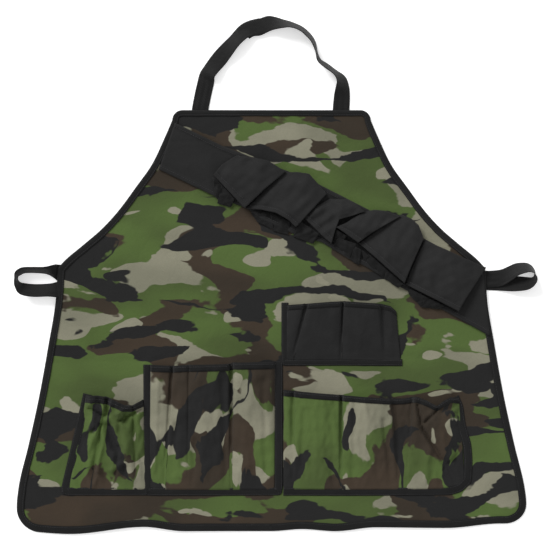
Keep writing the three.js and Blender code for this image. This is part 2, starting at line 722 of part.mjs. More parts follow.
// A pocket front with the tape along its mouth.
function pocketFront(name, plan, folds, depth, finish) {
  const tape = POCKET_BINDING / (plan.mouth - plan.foot);
  const gap = FIT_GAP / (plan.mouth - plan.foot);
  const front = spread(0, 1 - tape - gap, 5);
  addPiece(name, slab(
    pocketGrid(plan, folds, depth, front, CLOTH_WALL),
    pocketGrid(plan, folds, depth, front, 0),
  ), finish);
  const mouth = [1 - tape, 1];
  addPiece(`${name}_hem`, slab(
    pocketGrid(plan, folds, depth, mouth, TAPE_WALL),
    pocketGrid(plan, folds, depth, mouth, 0),
  ), blackTape);
}

// Flat tape on the body round a pocket front, through the corners of its outer edge. The edge
// runs with the pocket on its left.
function pocketTape(name, corners) {
  const rounds = [];
  corners.forEach(([x, y], i) => {
    if (i > 0) {
      const [px, py] = corners[i - 1];
      const count = Math.max(Math.round(Math.hypot(x - px, y - py) / (1.6 * CLOTH_STEP)), 1);
      for (let k = 1; k < count; k += 1) {
        rounds.push([mix(px, x, k / count), mix(py, y, k / count)]);
      }
    }
    rounds.push([x, y]);
  });
  const plan = [[0, 0], [POCKET_BINDING, 0], [POCKET_BINDING, TAPE_WALL], [0, TAPE_WALL]];
  const last = rounds.length - 1;
  const sections = rounds.map(([x, y], i) => {
    const heading = (a, b) => new THREE.Vector2(b[0] - a[0], b[1] - a[1]).normalize();
    const come = heading(rounds[Math.max(i - 1, 0)], rounds[Math.max(i, 1)]);
    const go = heading(rounds[Math.min(i, last - 1)], rounds[Math.min(i + 1, last)]);
    const along = come.clone().add(go).normalize();
    const mitre = 1 / Math.max(along.dot(come), 0.5);
    return plan.map(([depth, height]) => {
      const px = x - along.y * depth * mitre;
      const py = y + along.x * depth * mitre;
      return new THREE.Vector3(px, py, onCloth(px, py) + height);
    });
  });
  addPiece(name, loft(sections, plan), blackTape);
}

function lowerPockets() {
  const inner = POCKET_BINDING + FIT_GAP;
  const centreRight = POCKET_ROW_EDGE;
  const centreLeft = centreRight - CENTRE_POCKET_WIDTH;
  const foot = POCKET_ROW_FOOT;

  const centreTop = foot + CENTRE_POCKET_HEIGHT;
  pocketFront('centre_pocket', {
    footLeft: centreLeft + inner,
    mouthLeft: centreLeft + inner,
    footRight: centreRight - inner,
    mouthRight: centreRight - inner,
    foot: foot + inner,
    mouth: centreTop,
  }, CENTRE_POCKET_FOLDS, POCKET_DEPTH, camouflage);
  pocketTape('centre_pocket_binding', [
    [centreLeft, centreTop],
    [centreLeft, foot],
    [centreRight, foot],
    [centreRight, centreTop],
  ]);

  const leftRight = centreLeft - FIT_GAP;
  const leftLeft = leftRight - LEFT_POCKET_WIDTH;
  const leftTop = foot + LEFT_POCKET_HEIGHT;
  const leftSlant = inner * Math.hypot(1, LEFT_POCKET_SPREAD / LEFT_POCKET_HEIGHT);
  pocketFront('left_pocket', {
    footLeft: leftLeft + leftSlant + LEFT_POCKET_SPREAD * inner / LEFT_POCKET_HEIGHT,
    mouthLeft: leftLeft + LEFT_POCKET_SPREAD + leftSlant,
    footRight: leftRight,
    mouthRight: leftRight,
    foot: foot + inner,
    mouth: leftTop,
  }, LEFT_POCKET_FOLDS, POCKET_DEPTH, camouflage);
  pocketTape('left_pocket_binding', [
    [leftLeft + LEFT_POCKET_SPREAD, leftTop],
    [leftLeft, foot],
    [leftRight, foot],
  ]);

  const rightLeft = centreRight + FIT_GAP;
  const rightRight = rightLeft + RIGHT_POCKET_WIDTH;
  const rightTop = foot + RIGHT_POCKET_HEIGHT;
  const rightSlant = inner * Math.hypot(1, RIGHT_POCKET_SPREAD / RIGHT_POCKET_HEIGHT);
  pocketFront('right_pocket', {
    footLeft: rightLeft,
    mouthLeft: rightLeft,
    footRight: rightRight - rightSlant - RIGHT_POCKET_SPREAD * inner / RIGHT_POCKET_HEIGHT,
    mouthRight: rightRight - RIGHT_POCKET_SPREAD - rightSlant,
    foot: foot + inner,
    mouth: rightTop,
  }, RIGHT_POCKET_FOLDS, POCKET_DEPTH, camouflage);
  pocketTape('right_pocket_binding', [
    [rightLeft, foot],
    [rightRight, foot],
    [rightRight - RIGHT_POCKET_SPREAD, rightTop],
  ]);
}

function toolPocket() {
  const left = POCKET_ROW_EDGE;
  const right = left + TOOL_POCKET_WIDTH;
  const foot = TOOL_POCKET_FOOT + POCKET_BINDING;
  const mouth = TOOL_POCKET_FOOT + TOOL_POCKET_HEIGHT;
  pocketFront('tool_pocket', {
    footLeft: left,
    mouthLeft: left,
    footRight: right,
    mouthRight: right - TOOL_POCKET_SPREAD,
    foot: foot + FIT_GAP,
    mouth,
  }, TOOL_POCKET_FOLDS, TOOL_POCKET_DEPTH, blackCloth);
  pocketTape('tool_pocket_binding', [
    [left, TOOL_POCKET_FOOT],
    [right, TOOL_POCKET_FOOT],
  ]);
}

bodyPanel();
edgeBindings();
neckStrap();
waistStrap('waist_strap_left', -1, WAIST_LOOP_LEFT, WAIST_COURSE_LEFT, 0);
waistStrap('waist_strap_right', 1, WAIST_LOOP_RIGHT, WAIST_COURSE_RIGHT, 1);
bandolierBand();
SLEEVES.slice(0, SLEEVE_COUNT).forEach(sleeve);
toolPocket();
lowerPockets();

const whole = new THREE.Box3().setFromObject(apron);
const middle = whole.getCenter(new THREE.Vector3());
apron.position.set(-middle.x, -middle.y, -whole.min.z);

export default apron;
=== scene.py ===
"""Camouflage work apron laid flat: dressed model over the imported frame.

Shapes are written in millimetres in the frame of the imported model. Places that were read off the
photograph are written in its pixels, which are 1.5 mm each, and turned into that frame by at().
"""

import math

import bpy
import numpy as np
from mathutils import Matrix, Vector


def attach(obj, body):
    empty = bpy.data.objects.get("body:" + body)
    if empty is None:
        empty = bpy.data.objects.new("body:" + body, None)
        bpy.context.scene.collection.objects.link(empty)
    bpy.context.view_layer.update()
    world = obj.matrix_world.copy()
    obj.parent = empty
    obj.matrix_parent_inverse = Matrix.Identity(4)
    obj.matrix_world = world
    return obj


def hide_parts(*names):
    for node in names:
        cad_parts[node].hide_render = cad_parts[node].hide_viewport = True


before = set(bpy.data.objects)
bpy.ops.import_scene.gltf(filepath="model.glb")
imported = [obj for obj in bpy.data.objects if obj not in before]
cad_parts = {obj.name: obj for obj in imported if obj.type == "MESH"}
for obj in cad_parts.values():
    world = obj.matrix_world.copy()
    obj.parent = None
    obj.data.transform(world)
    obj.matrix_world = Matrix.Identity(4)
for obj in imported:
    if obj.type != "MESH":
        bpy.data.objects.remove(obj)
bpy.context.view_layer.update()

MM = 0.001
# the photograph: millimetres in a pixel, the apron's centre line and the foot of its hem
PIXEL = 1.5
CENTRE_PX = 271.5
HEM_PY = 531.0
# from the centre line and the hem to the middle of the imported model's box
MID_X = 4.906
MID_Y = 383.122

HALF_HEM = 382.0
HALF_WAIST = 320.0
HALF_BIB = 144.0
SKIRT_HEIGHT = 394.0
BIB_HEIGHT = 237.0
BODY_HEIGHT = SKIRT_HEIGHT + BIB_HEIGHT
HEM_CORNER = 33.0
BIB_CORNER = 15.0
CLOTH = 1.2
BINDING = 12.0
# the body's cloth ends this far inside the binding's outer edge
CUT_INSET = 3.0
WEBBING_WIDTH = 25.0
WEBBING_WALL = 1.5

# how high the cloth lies: on the floor, over the straps' flat middle, and in its soft swells
REST_LIFT = 1.3
BELT_HEIGHT = 0.95 * SKIRT_HEIGHT
BELT_LIFT = 3.6
NECK_LIFT = 1.8
STRAP_FLAT = 34.0
STRAP_SLOPE = 90.0
SWELL_LIFT = 15.0


# Helpers


def at(px, py):
    """A place in the photograph, in millimetres of the frame."""
    return (px - CENTRE_PX) * PIXEL - MID_X, (HEM_PY - py) * PIXEL - MID_Y


def fade(distance, reach):
    d = np.clip(np.abs(distance) / reach, 0.0, 1.0)
    return 0.5 + 0.5 * np.cos(np.pi * d)


def step(low, high, x):
    t = np.clip((np.asarray(x, float) - low) / (high - low), 0.0, 1.0)
    return t * t * (3.0 - 2.0 * t)


def field(x, y, length, seed, stretch=(1.0, 1.0)):
    """A smooth random field between about -1 and 1, with folds about `length` apart."""
    waves = 11
    rng = np.random.default_rng(seed)
    total = np.zeros(np.broadcast(x, y).shape)
    for _ in range(waves):
        turn = rng.uniform(0, math.tau)
        pitch = length * rng.uniform(0.7, 1.5)
        kx = math.cos(turn) / pitch / stretch[0] * math.tau
        ky = math.sin(turn) / pitch / stretch[1] * math.tau
        total += np.sin(kx * x + ky * y + rng.uniform(0, math.tau))
    return total * 1.35 / math.sqrt(waves * 2)


def wrinkles(x, y, seed, rows):
    """Fields added up, from rows of (height, length, step of the seed, stretch)."""
    return sum(height * field(x, y, length, seed + more, stretch) for height, length, more, stretch in rows)


def hermite(t, a, slope_a, b, slope_b):
    t2, t3 = t * t, t * t * t
    ends = (2 * t3 - 3 * t2 + 1) * a + (3 * t2 - 2 * t3) * b
    return ends + (t3 - 2 * t2 + t) * slope_a + (t3 - t2) * slope_b


def follow(rows, x):
    """Joins rows of (place, value) smoothly, without overshoot."""
    px, py = np.array(rows, float).T
    slope = np.diff(py) / np.diff(px)
    tangent = np.zeros(len(px))
    tangent[0] = slope[0]
    tangent[-1] = slope[-1]
    for i in range(1, len(px) - 1):
        a, b = slope[i - 1], slope[i]
        tangent[i] = 0.0 if a * b <= 0 else 2 * a * b / (a + b)
    x = np.clip(np.asarray(x, float), px[0], px[-1])
    k = np.clip(np.searchsorted(px, x, side="right") - 1, 0, len(px) - 2)
    span = px[k + 1] - px[k]
    return hermite((x - px[k]) / span, py[k], span * tangent[k], py[k + 1], span * tangent[k + 1])


def reach_along(points):
    """Length from a line's start to each of its points."""
    return np.concatenate([[0], np.cumsum(np.linalg.norm(np.diff(points, axis=0), axis=1))])


def resample(points, reach, spots):
    return np.stack([np.interp(spots, reach, column) for column in np.asarray(points).T], axis=1)


def smooth_path(points, pitch):
    """Points of any width along a centripetal curve through `points`, evenly spaced."""
    pts = np.array(points, float)
    pts = np.vstack([2 * pts[0] - pts[1], pts, 2 * pts[-1] - pts[-2]])
    out = []
    for i in range(1, len(pts) - 2):
        p0, p1, p2, p3 = pts[i - 1 : i + 3]
        gaps = [max(np.linalg.norm(b - a), 1e-6) ** 0.5 for a, b in ((p0, p1), (p1, p2), (p2, p3))]
        m1 = p2 - p1 + gaps[1] * ((p1 - p0) / gaps[0] - (p2 - p0) / (gaps[0] + gaps[1]))
        m2 = p2 - p1 + gaps[1] * ((p3 - p2) / gaps[2] - (p3 - p1) / (gaps[1] + gaps[2]))
        out += [hermite(t, p1, m1, p2, m2) for t in np.linspace(0, 1, 12, endpoint=False)]
    out.append(pts[-2])
    out = np.array(out)
    length = reach_along(out[:, :3])
    count = max(int(round(length[-1] / pitch)), 2)
    return resample(out, length, np.linspace(0, length[-1], count + 1))


def put(name, verts, faces, mat, nodes, uvs, flat_from=None):
    """Adds a mesh written in millimetres as a piece of the body."""
    mesh = bpy.data.meshes.new(name)
    mesh.from_pydata((np.asarray(verts, float) * MM).tolist(), [], [list(f) for f in faces])
    mesh.update()
    layer = mesh.uv_layers.new(name="UVMap")
    index = np.empty(len(mesh.loops), dtype=np.int64)
    mesh.loops.foreach_get("vertex_index", index)
    layer.data.foreach_set("uv", np.asarray(uvs, float)[index].ravel())
    smooth = np.ones(len(mesh.polygons), dtype=bool)
    if flat_from is not None:
        smooth[flat_from:] = False
    mesh.polygons.foreach_set("use_smooth", smooth)
    mesh.materials.append(mat)
    obj = bpy.data.objects.new(name, mesh)
    bpy.context.scene.collection.objects.link(obj)
    if nodes:
        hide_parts(*nodes)
    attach(obj, "root")
    return obj


def face_normals(points):
    du = np.gradient(points, axis=1)
    dv = np.gradient(points, axis=0)
    n = np.cross(du, dv)
    n /= np.maximum(np.linalg.norm(n, axis=2, keepdims=True), 1e-9)
    return n


def lengths(points):
    """Flat coordinates of a grid in metres, from the mean lengths along it."""
    along = np.linalg.norm(np.diff(points, axis=1), axis=2).mean(axis=0)
    up = np.linalg.norm(np.diff(points, axis=0), axis=2).mean(axis=1)
    u = np.concatenate([[0], np.cumsum(along)]) * MM
    v = np.concatenate([[0], np.cumsum(up)]) * MM
    return np.stack(np.meshgrid(u, v), axis=2)


def cloth(name, points, wall, mat, nodes, uvs=None, straight_down=False):
    """A closed wall of cloth whose upper face is the grid of points."""
    points = np.asarray(points, float)
    rows, columns = points.shape[:2]
    drop = np.array([0, 0, 1.0]) if straight_down else face_normals(points)
    under = points - drop * wall
    uvs = lengths(points) if uvs is None else uvs
    verts = np.concatenate([points.reshape(-1, 3), under.reshape(-1, 3)])
    flat = np.tile(uvs.reshape(-1, 2), (2, 1))
    index = np.arange(rows * columns).reshape(rows, columns)
    corners = index[:-1, :-1], index[:-1, 1:], index[1:, 1:], index[1:, :-1]
    quad = np.stack(corners, axis=2).reshape(-1, 4)
    low = quad[:, ::-1] + rows * columns
    rim = np.concatenate([index[0, :-1], index[:-1, -1], index[-1, :0:-1], index[:0:-1, 0]])
    nxt = np.roll(rim, -1)
    side = np.stack([rim, rim + rows * columns, nxt + rows * columns, nxt], axis=1)
    faces = np.concatenate([quad, low, side])
    return put(name, verts, faces, mat, nodes, flat, flat_from=len(quad) * 2)


def sweep(name, sections, mat, nodes, uvs, closed=False):
    """A body through a row of like closed sections."""
    sections = np.asarray(sections, float)
    count, size = sections.shape[:2]
    faces = []
    last = count if closed else count - 1
    for i in range(last):
        k = (i + 1) % count
        for j in range(size):
            m = (j + 1) % size
            faces.append((i * size + j, i * size + m, k * size + m, k * size + j))
    if not closed:
        faces.append(tuple(range(size - 1, -1, -1)))
        faces.append(tuple((count - 1) * size + j for j in range(size)))
    return put(name, sections.reshape(-1, 3), faces, mat, nodes, uvs)


# Materials


def linear(r, g, b):
    """A colour from the values of a picture, 0 to 255."""
    out = []
    for c in (r, g, b):
        c /= 255.0
        out.append(c / 12.92 if c <= 0.04045 else ((c + 0.055) / 1.055) ** 2.4)
    return (*out, 1.0)


class Nodes:
    """Short way to write a node tree."""

    def __init__(self, name, roughness, sheen):
        self.mat = bpy.data.materials.new(name)
        self.mat.use_nodes = True
        self.tree = self.mat.node_tree
        self.shader = self.tree.nodes["Principled BSDF"]
        self.fill(self.shader, {
            "Roughness": roughness, "Sheen Weight": sheen, "Sheen Roughness": 0.5,
            "Specular IOR Level": 0.16,
        })
        self.uv = self.add("ShaderNodeUVMap").outputs[0]

    def add(self, kind, **settings):
        node = self.tree.nodes.new(kind)
        for key, value in settings.items():
            setattr(node, key, value)
        return node

    def wire(self, value, socket):
        if hasattr(value, "is_output"):
            self.tree.links.new(value, socket)
        else:
            socket.default_value = value

    def times(self, a, b):
        return self.math("MULTIPLY", a, b)

    def minus(self, a, b):
        return self.math("SUBTRACT", a, b)

    def plus(self, a, b):
        return self.math("ADD", a, b)

    def fill(self, node, values):
        for name, value in values.items():
            self.wire(value, node.inputs[name])

    def math(self, kind, a, b=0.0, c=0.0):
        node = self.add("ShaderNodeMath", operation=kind)
        for value, socket in zip((a, b, c), node.inputs):
            self.wire(value, socket)
        return node.outputs[0]

    def vec(self, kind, a, b):
        node = self.add("ShaderNodeVectorMath", operation=kind)
        self.wire(a, node.inputs[0])
        self.wire(b, node.inputs["Scale" if kind == "SCALE" else 1])
        return node.outputs[0]

    def noise(self, where, scale, detail=2.0, rough=0.5, distort=0.0, shift=(0, 0, 0), output="Fac"):
        node = self.add("ShaderNodeTexNoise", noise_dimensions="3D")
        self.fill(node, {
            "Vector": self.vec("ADD", where, shift), "Scale": scale, "Detail": detail,
            "Roughness": rough, "Distortion": distort,
        })
        return node.outputs[output]

    def over(self, fac, under, top):
        node = self.add("ShaderNodeMix", data_type="RGBA")
        self.fill(node, {0: fac, 6: under, 7: top})
        return node.outputs[2]

    def edge(self, value, level, soft=0.006):
        node = self.add("ShaderNodeMapRange", interpolation_type="SMOOTHSTEP")
        self.fill(node, {"Value": value, "From Min": level - soft, "From Max": level + soft})
        return node.outputs["Result"]

    def split(self):
        node = self.add("ShaderNodeSeparateXYZ")
        self.wire(self.uv, node.inputs[0])
        return node.outputs[0], node.outputs[1]

    def bump(self, height, distance, strength=1.0, normal=None):
        node = self.add("ShaderNodeBump")
        self.fill(node, {"Height": height, "Distance": distance, "Strength": strength})
        if normal is not None:
            self.wire(normal, node.inputs["Normal"])
        return node.outputs[0]

    def finish(self, colour, normal):
        self.wire(colour, self.shader.inputs["Base Color"])
        self.wire(normal, self.shader.inputs["Normal"])
        return self.mat

    def weave(self, pitch):
        """Plain weave: two sets of threads that pass over each other, in metres."""
        u, v = self.split()
        warp = self.math("SINE", self.times(u, math.tau / pitch))
        weft = self.math("SINE", self.times(v, math.tau / pitch))
        return self.times(warp, weft)

    def slubs(self, stretch, scale):
        """Uneven threads both ways, above and below zero."""
        up = self.noise(self.vec("MULTIPLY", self.uv, (1.0, stretch, 1.0)), scale, 2.0, 0.6)
        across = self.vec("MULTIPLY", self.uv, (stretch, 1.0, 1.0))
        across = self.noise(across, scale, 2.0, 0.6, 0.0, (3.0, 1.0, 2.0))
        return self.minus(self.plus(up, across), 1.0)

    def worn_cloth(self, crumple, crumple_strength, grain, grain_strength, pitch):
        """Crumples, uneven threads and weave as one bumped surface."""
        normal = self.bump(crumple, 0.004, crumple_strength)
        normal = self.bump(grain, 0.0006, grain_strength, normal)
        return self.bump(self.weave(pitch), 0.0002, 0.5, normal)


GREEN = linear(79, 98, 51)
GREEN_DEEP = linear(69, 83, 45)
KHAKI = linear(134, 132, 114)
KHAKI_DEEP = linear(120, 119, 102)
BROWN = linear(62, 52, 42)
BROWN_DEEP = linear(52, 45, 37)
DARK = linear(33, 33, 33)


def camouflage(name, stretch, shift, flow):
    """Four colours printed in torn, flowing blotches on a canvas weave."""
    n = Nodes(name, 0.86, 0.05)
    place = n.vec("MULTIPLY", n.uv, (1.0 / stretch[0], 1.0 / stretch[1], 1.0))
    wander = n.noise(place, 0.8, 1.0, output="Color")
    wander = n.vec("SCALE", n.vec("SUBTRACT", wander, (0.5, 0.5, 0.5)), 0.75)
    place = n.vec("ADD", n.vec("ADD", place, wander), shift)
    torn = n.noise(place, 4.6, 1.0, 0.5)
    torn = n.times(n.minus(torn, 0.5), 0.06)

    lines = n.vec("MULTIPLY", place, flow)

    def blotch(scale, level, seed, distort=0.5, where=place):
        value = n.noise(where, scale, 1.4, 0.42, distort, seed)
        return n.edge(n.plus(value, torn), level)

    green = blotch(0.62, 0.42, (11.3, 4.1, 2.0), 0.3)
    brown = blotch(0.52, 0.54, (3.7, 17.9, 6.0), 0.3)
    pale = blotch(0.85, 0.65, (31.0, 2.2, 1.0), 0.3)
    dark_patch = blotch(0.8, 0.65, (7.7, 9.1, 14.0), 0.2, lines)
    ridge = n.noise(lines, 0.46, 0.6, 0.4, 0.3, (23.1, 5.5, 3.0))
    ridge = n.math("ABSOLUTE", n.minus(n.plus(ridge, torn), 0.5))
    # branches swell and thin out along their length, and stop short
    swell = n.noise(place, 0.75, 1.0, 0.4, 0.0, (2.0, 41.0, 8.0))
    swell = n.times(n.minus(swell, 0.41), 0.32)
    branch = n.edge(n.minus(swell, ridge), 0.0, 0.004)
    dark = n.math("MAXIMUM", dark_patch, branch)

    tone = n.edge(n.noise(place, 0.5, 1.0, 0.5, 0.0, (5.0, 5.0, 5.0)), 0.5, 0.15)
    colour = n.over(green, n.over(tone, KHAKI, KHAKI_DEEP), n.over(tone, GREEN, GREEN_DEEP))
    colour = n.over(brown, colour, n.over(tone, BROWN, BROWN_DEEP))
    colour = n.over(pale, colour, KHAKI)
    colour = n.over(dark, colour, DARK)

    grain = n.slubs(6.0, 420.0)
    shade = n.math("MULTIPLY_ADD", grain, 0.42, 1.0)
    worn = n.minus(n.noise(n.uv, 14.0, 3.0, 0.6), 0.5)
    shade = n.times(shade, n.math("MULTIPLY_ADD", worn, 0.16, 1.0))
    crumple = n.noise(n.uv, 28.0, 4.0, 0.55, 0.4)
    return n.finish(n.vec("SCALE", colour, shade), n.worn_cloth(crumple, 0.55, grain, 0.35, 0.0022))


def black_cloth(name, deep=25, light=35):
    n = Nodes(name, 0.68, 0.08)
    grain = n.slubs(7.0, 380.0)
    mixed = n.math("MULTIPLY_ADD", grain, 1.2, n.noise(n.uv, 18.0, 3.0, 0.6))
    colour = n.over(n.edge(mixed, 0.5, 0.6), linear(deep, deep, deep), linear(light, light, light))
    crumple = n.noise(n.uv, 30.0, 4.0, 0.55, 0.5)
    return n.finish(colour, n.worn_cloth(crumple, 0.5, grain, 0.4, 0.0020))


def ribbed(name, dark, light, pitch, herringbone):
    """Woven tape: u runs along it and v across it."""
    n = Nodes(name, 0.64, 0.06)
    u, v = n.split()
    phase = n.plus(u, n.math("PINGPONG", v, herringbone)) if herringbone else u
    rib = n.math("SINE", n.times(phase, math.tau / pitch))
    fuzz = n.noise(n.uv, 900.0, 2.0, 0.6)
    worn = n.noise(n.uv, 25.0, 3.0, 0.6)
    value = n.math("MULTIPLY_ADD", rib, 0.12, n.math("MULTIPLY_ADD", worn, 0.9, 0.05))
    colour = n.over(n.edge(value, 0.5, 0.45), dark, light)
    normal = n.bump(rib, 0.0004, 0.6)
    normal = n.bump(fuzz, 0.0003, 0.4, normal)
    normal = n.bump(n.noise(n.uv, 40.0, 3.0, 0.6), 0.002, 0.35, normal)
    return n.finish(colour, normal)


def thread(name, colour):
    n = Nodes(name, 0.45, 0.1)
    twist = n.noise(n.uv, 1500.0, 1.0)
    return n.finish(n.over(twist, colour, linear(20, 20, 21)), n.bump(twist, 0.0002, 0.5))


BODY_PRINT = camouflage("camouflage_body", (0.078, 0.040), (0.0, 0.0, 0.0), (0.66, 1.2, 1.0))
POCKET_PRINT = camouflage("camouflage_pocket", (0.050, 0.066), (12.4, 7.6, 3.3), (1.1, 0.8, 1.0))
BLACK = black_cloth("black_cloth")
# a darker copy of the black cloth: painted shade for the hollows under the sleeves' hems, where the gussets
# lie
BLACK_PAINTED_SHADE = black_cloth("black_cloth_painted_shade", 15, 23)
TAPE = ribbed("binding_tape", linear(17, 17, 17), linear(26, 26, 26), 0.0013, 0)
WEB = ribbed("webbing", linear(18, 18, 18), linear(29, 29, 29), 0.0026, 0.0042)
THREAD = thread("black_thread", linear(58, 58, 60))


# The cloth of the body

# the skirt's side and the armhole: share of the height, and of the way from narrow to wide
SIDE_FORM = [(0, 1), (0.09, 1), (0.16, 0.96), (0.33, 0.71), (0.51, 0.46), (0.7, 0.24), (0.88, 0.05), (1, 0)]
ARMHOLE_FORM = [
    (0, 1), (0.05, 0.94), (0.15, 0.78), (0.25, 0.625), (0.36, 0.49), (0.51, 0.34), (0.66, 0.197),
    (0.81, 0.1), (1, -0.01),
]
# the hem's waves: place from side to side, and rise in binding widths
HEM_RIPPLE = [
    (-1, 0.1), (-0.79, -0.36), (-0.5, 0.55), (-0.34, 0), (0, 0), (0.12, 0.25), (0.25, 0), (0.41, 0.5),
    (0.69, 0.4), (0.9, 0.95), (1, 0.8),
]
# soft swells: place across and up, reach and rise, as shares of the body and of SWELL_LIFT
SWELLS = [
    (-0.5, 0.02, 0.25, 0.24), (0.46, 0, 0.24, 0.2), (-0.1, 0.4, 0.26, 0.14), (0.3, 0.64, 0.24, 0.16),
    (-0.25, 0.86, 0.25, 0.14),
]


def side_half(y):
    y = np.asarray(y, float)
    skirt = HALF_WAIST + (HALF_HEM - HALF_WAIST) * follow(SIDE_FORM, y / SKIRT_HEIGHT)
    bib = HALF_BIB + (HALF_WAIST - HALF_BIB) * follow(ARMHOLE_FORM, (y - SKIRT_HEIGHT) / BIB_HEIGHT)
    return np.where(y < SKIRT_HEIGHT, skirt, bib)


def body_half(y, inset):
    """Half the body's width at a height, as far in from its edge as the inset."""
    y = np.asarray(y, float)
    slope = (side_half(y + 1) - side_half(y - 1)) / 2
    half = side_half(y) - inset * np.hypot(1, slope)
    low = np.sqrt(np.maximum((HEM_CORNER - inset) ** 2 - (HEM_CORNER - y) ** 2, 0))
    half = np.where(y < HEM_CORNER, side_half(HEM_CORNER) - HEM_CORNER + low, half)
    shoulder = BODY_HEIGHT - BIB_CORNER
    high = np.sqrt(np.maximum((BIB_CORNER - inset) ** 2 - (y - shoulder) ** 2, 0))
    return np.where(y > shoulder, side_half(shoulder) - BIB_CORNER + high, half)


def ripple(x, y):
    return follow(HEM_RIPPLE, x / HALF_HEM) * BINDING * fade(y, STRAP_SLOPE)


def lie(x, y):
    """Height of the cloth's underside, at a place in the frame."""
    wx = np.asarray(x, float) + MID_X
    wy = np.asarray(y, float) + MID_Y
    belt = fade(np.maximum(np.abs(wy - BELT_HEIGHT) - STRAP_FLAT, 0), STRAP_SLOPE) * BELT_LIFT
    neck = fade(np.maximum(BODY_HEIGHT - wy - STRAP_FLAT, 0), STRAP_SLOPE) * NECK_LIFT
    height = REST_LIFT + np.maximum(belt, neck)
    for across, up, reach, rise in SWELLS:
        away = np.hypot(wx - across * HALF_HEM, wy - up * BODY_HEIGHT)
        height = height + fade(away, reach * BODY_HEIGHT) * rise * SWELL_LIFT
    return height


FACE_LIFT = 0.35
BODY_SEED = 5
BODY_WRINKLES = [(0.33, 150, 0, (1.3, 0.8)), (0.168, 52, 3, (1.5, 0.8))]

# soft folds left by the packing: start, end, width and height in millimetres
PACKING_CREASES = [
    (at(120, 142), at(400, 140), 2.4, -0.55), (at(70, 240), at(330, 237), 2.4, -0.5),
    (at(50, 361), at(498, 357), 2.4, -0.55), (at(418, 372), at(421, 524), 2.2, -0.45),
    (at(447, 430), at(450, 524), 2.2, -0.4), (at(180, 225), at(184, 525), 2.4, -0.35),
]


def top(x, y):
    """Height of the cloth's upper face, with its soft wrinkles."""
    packed = sum(crease(x, y, *row) for row in PACKING_CREASES)
    return lie(x, y) + CLOTH + FACE_LIFT + wrinkles(x, y, BODY_SEED, BODY_WRINKLES) + packed


def on(x, y, lift):
    return top(x, y) + lift


def cut_size():
    """Width, length and area of the body's flat cut, in metres and square metres."""
    y = np.linspace(CUT_INSET, BODY_HEIGHT - CUT_INSET, 2001)
    half = body_half(y, CUT_INSET)
    area = float(np.sum((half[1:] + half[:-1]) * np.diff(y))) * MM * MM
    return (round(2 * float(half.max()) * MM, 4), round(float(y[-1] - y[0]) * MM, 4)), round(area, 4)


def body_panel():
    corner = 1 - np.cos(np.linspace(0, 1, 9) * math.pi / 2)
    heights = np.concatenate([
        CUT_INSET + (HEM_CORNER - CUT_INSET) * corner,
        np.linspace(HEM_CORNER, BODY_HEIGHT - BIB_CORNER, 132)[1:-1],
        BODY_HEIGHT - (CUT_INSET + (BIB_CORNER - CUT_INSET) * corner[::-1]),
    ])
    u = np.linspace(-1, 1, 151)
    y = np.repeat(heights[:, None], len(u), axis=1)
    x = u[None, :] * body_half(heights, CUT_INSET)[:, None]
    y = y + ripple(x, y)
    fx, fy = x - MID_X, y - MID_Y
    points = np.stack([fx, fy, top(fx, fy)], axis=2)
    uvs = np.stack([fx, fy], axis=2) * MM
    return cloth(
        "apron_body", points, CLOTH, BODY_PRINT, ["apron_panel"], uvs,
        straight_down=True,
    )


def outline():
    """The body's edge, anticlockwise from the middle of the hem, with the cloth on its left."""
    reach = float(side_half(HEM_CORNER)) - HEM_CORNER
    shoulder = BODY_HEIGHT - BIB_CORNER
    top_reach = float(side_half(shoulder)) - BIB_CORNER
    turn = np.linspace(0, math.pi / 2, 12)
    right = [(x, 0) for x in np.linspace(0, reach, 90)]
    right += [
        (reach + HEM_CORNER * math.sin(t), HEM_CORNER - HEM_CORNER * math.cos(t)) for t in turn[1:]
    ]
    right += [(float(side_half(y)), y) for y in np.linspace(HEM_CORNER, shoulder, 180)[1:]]
    right += [
        (top_reach + BIB_CORNER * math.cos(t), shoulder + BIB_CORNER * math.sin(t)) for t in turn[1:]
    ]
    right += [(x, BODY_HEIGHT) for x in np.linspace(top_reach, 0, 40)[1:]]
    left = [(-x, y) for x, y in right[1:-1]][::-1]
    return np.array(right + left)


def even_ring(points, pitch):
    closed = np.vstack([points, points[:1]])
    length = reach_along(closed)
    spots = np.linspace(0, length[-1], int(length[-1] / pitch), endpoint=False)
    return resample(closed, length, spots), spots


# the folded tape in section: depth in from its outer edge, and height
BINDING_PROFILE = [
    (12.0, -1.30), (6.0, -1.34), (1.0, -1.30), (0.15, -0.85), (-0.1, 0.1), (0.1, 1.1), (0.9, 2.0),
    (2.6, 2.62), (5.5, 2.85), (8.2, 2.8), (9.6, 2.45), (10.4, 2.75), (11.6, 2.7), (12.0, 2.2),
    (11.9, 1.55), (1.3, 1.6), (1.0, 0.6), (1.2, -0.3), (11.9, -0.35),
]
# from this height up the section follows the cloth's upper face, and below it the lower one
UPPER_LEG = 1.2
# the tape's visible width up the body, as a share
BINDING_SHOWN = [(0, 0.98), (60, 0.92), (394, 0.88), (600, 0.84), (628, 0.74), (640, 0.74)]
BINDING_SEAM_DEPTH = 9.7
BINDING_SEAM_HEIGHT = 2.5


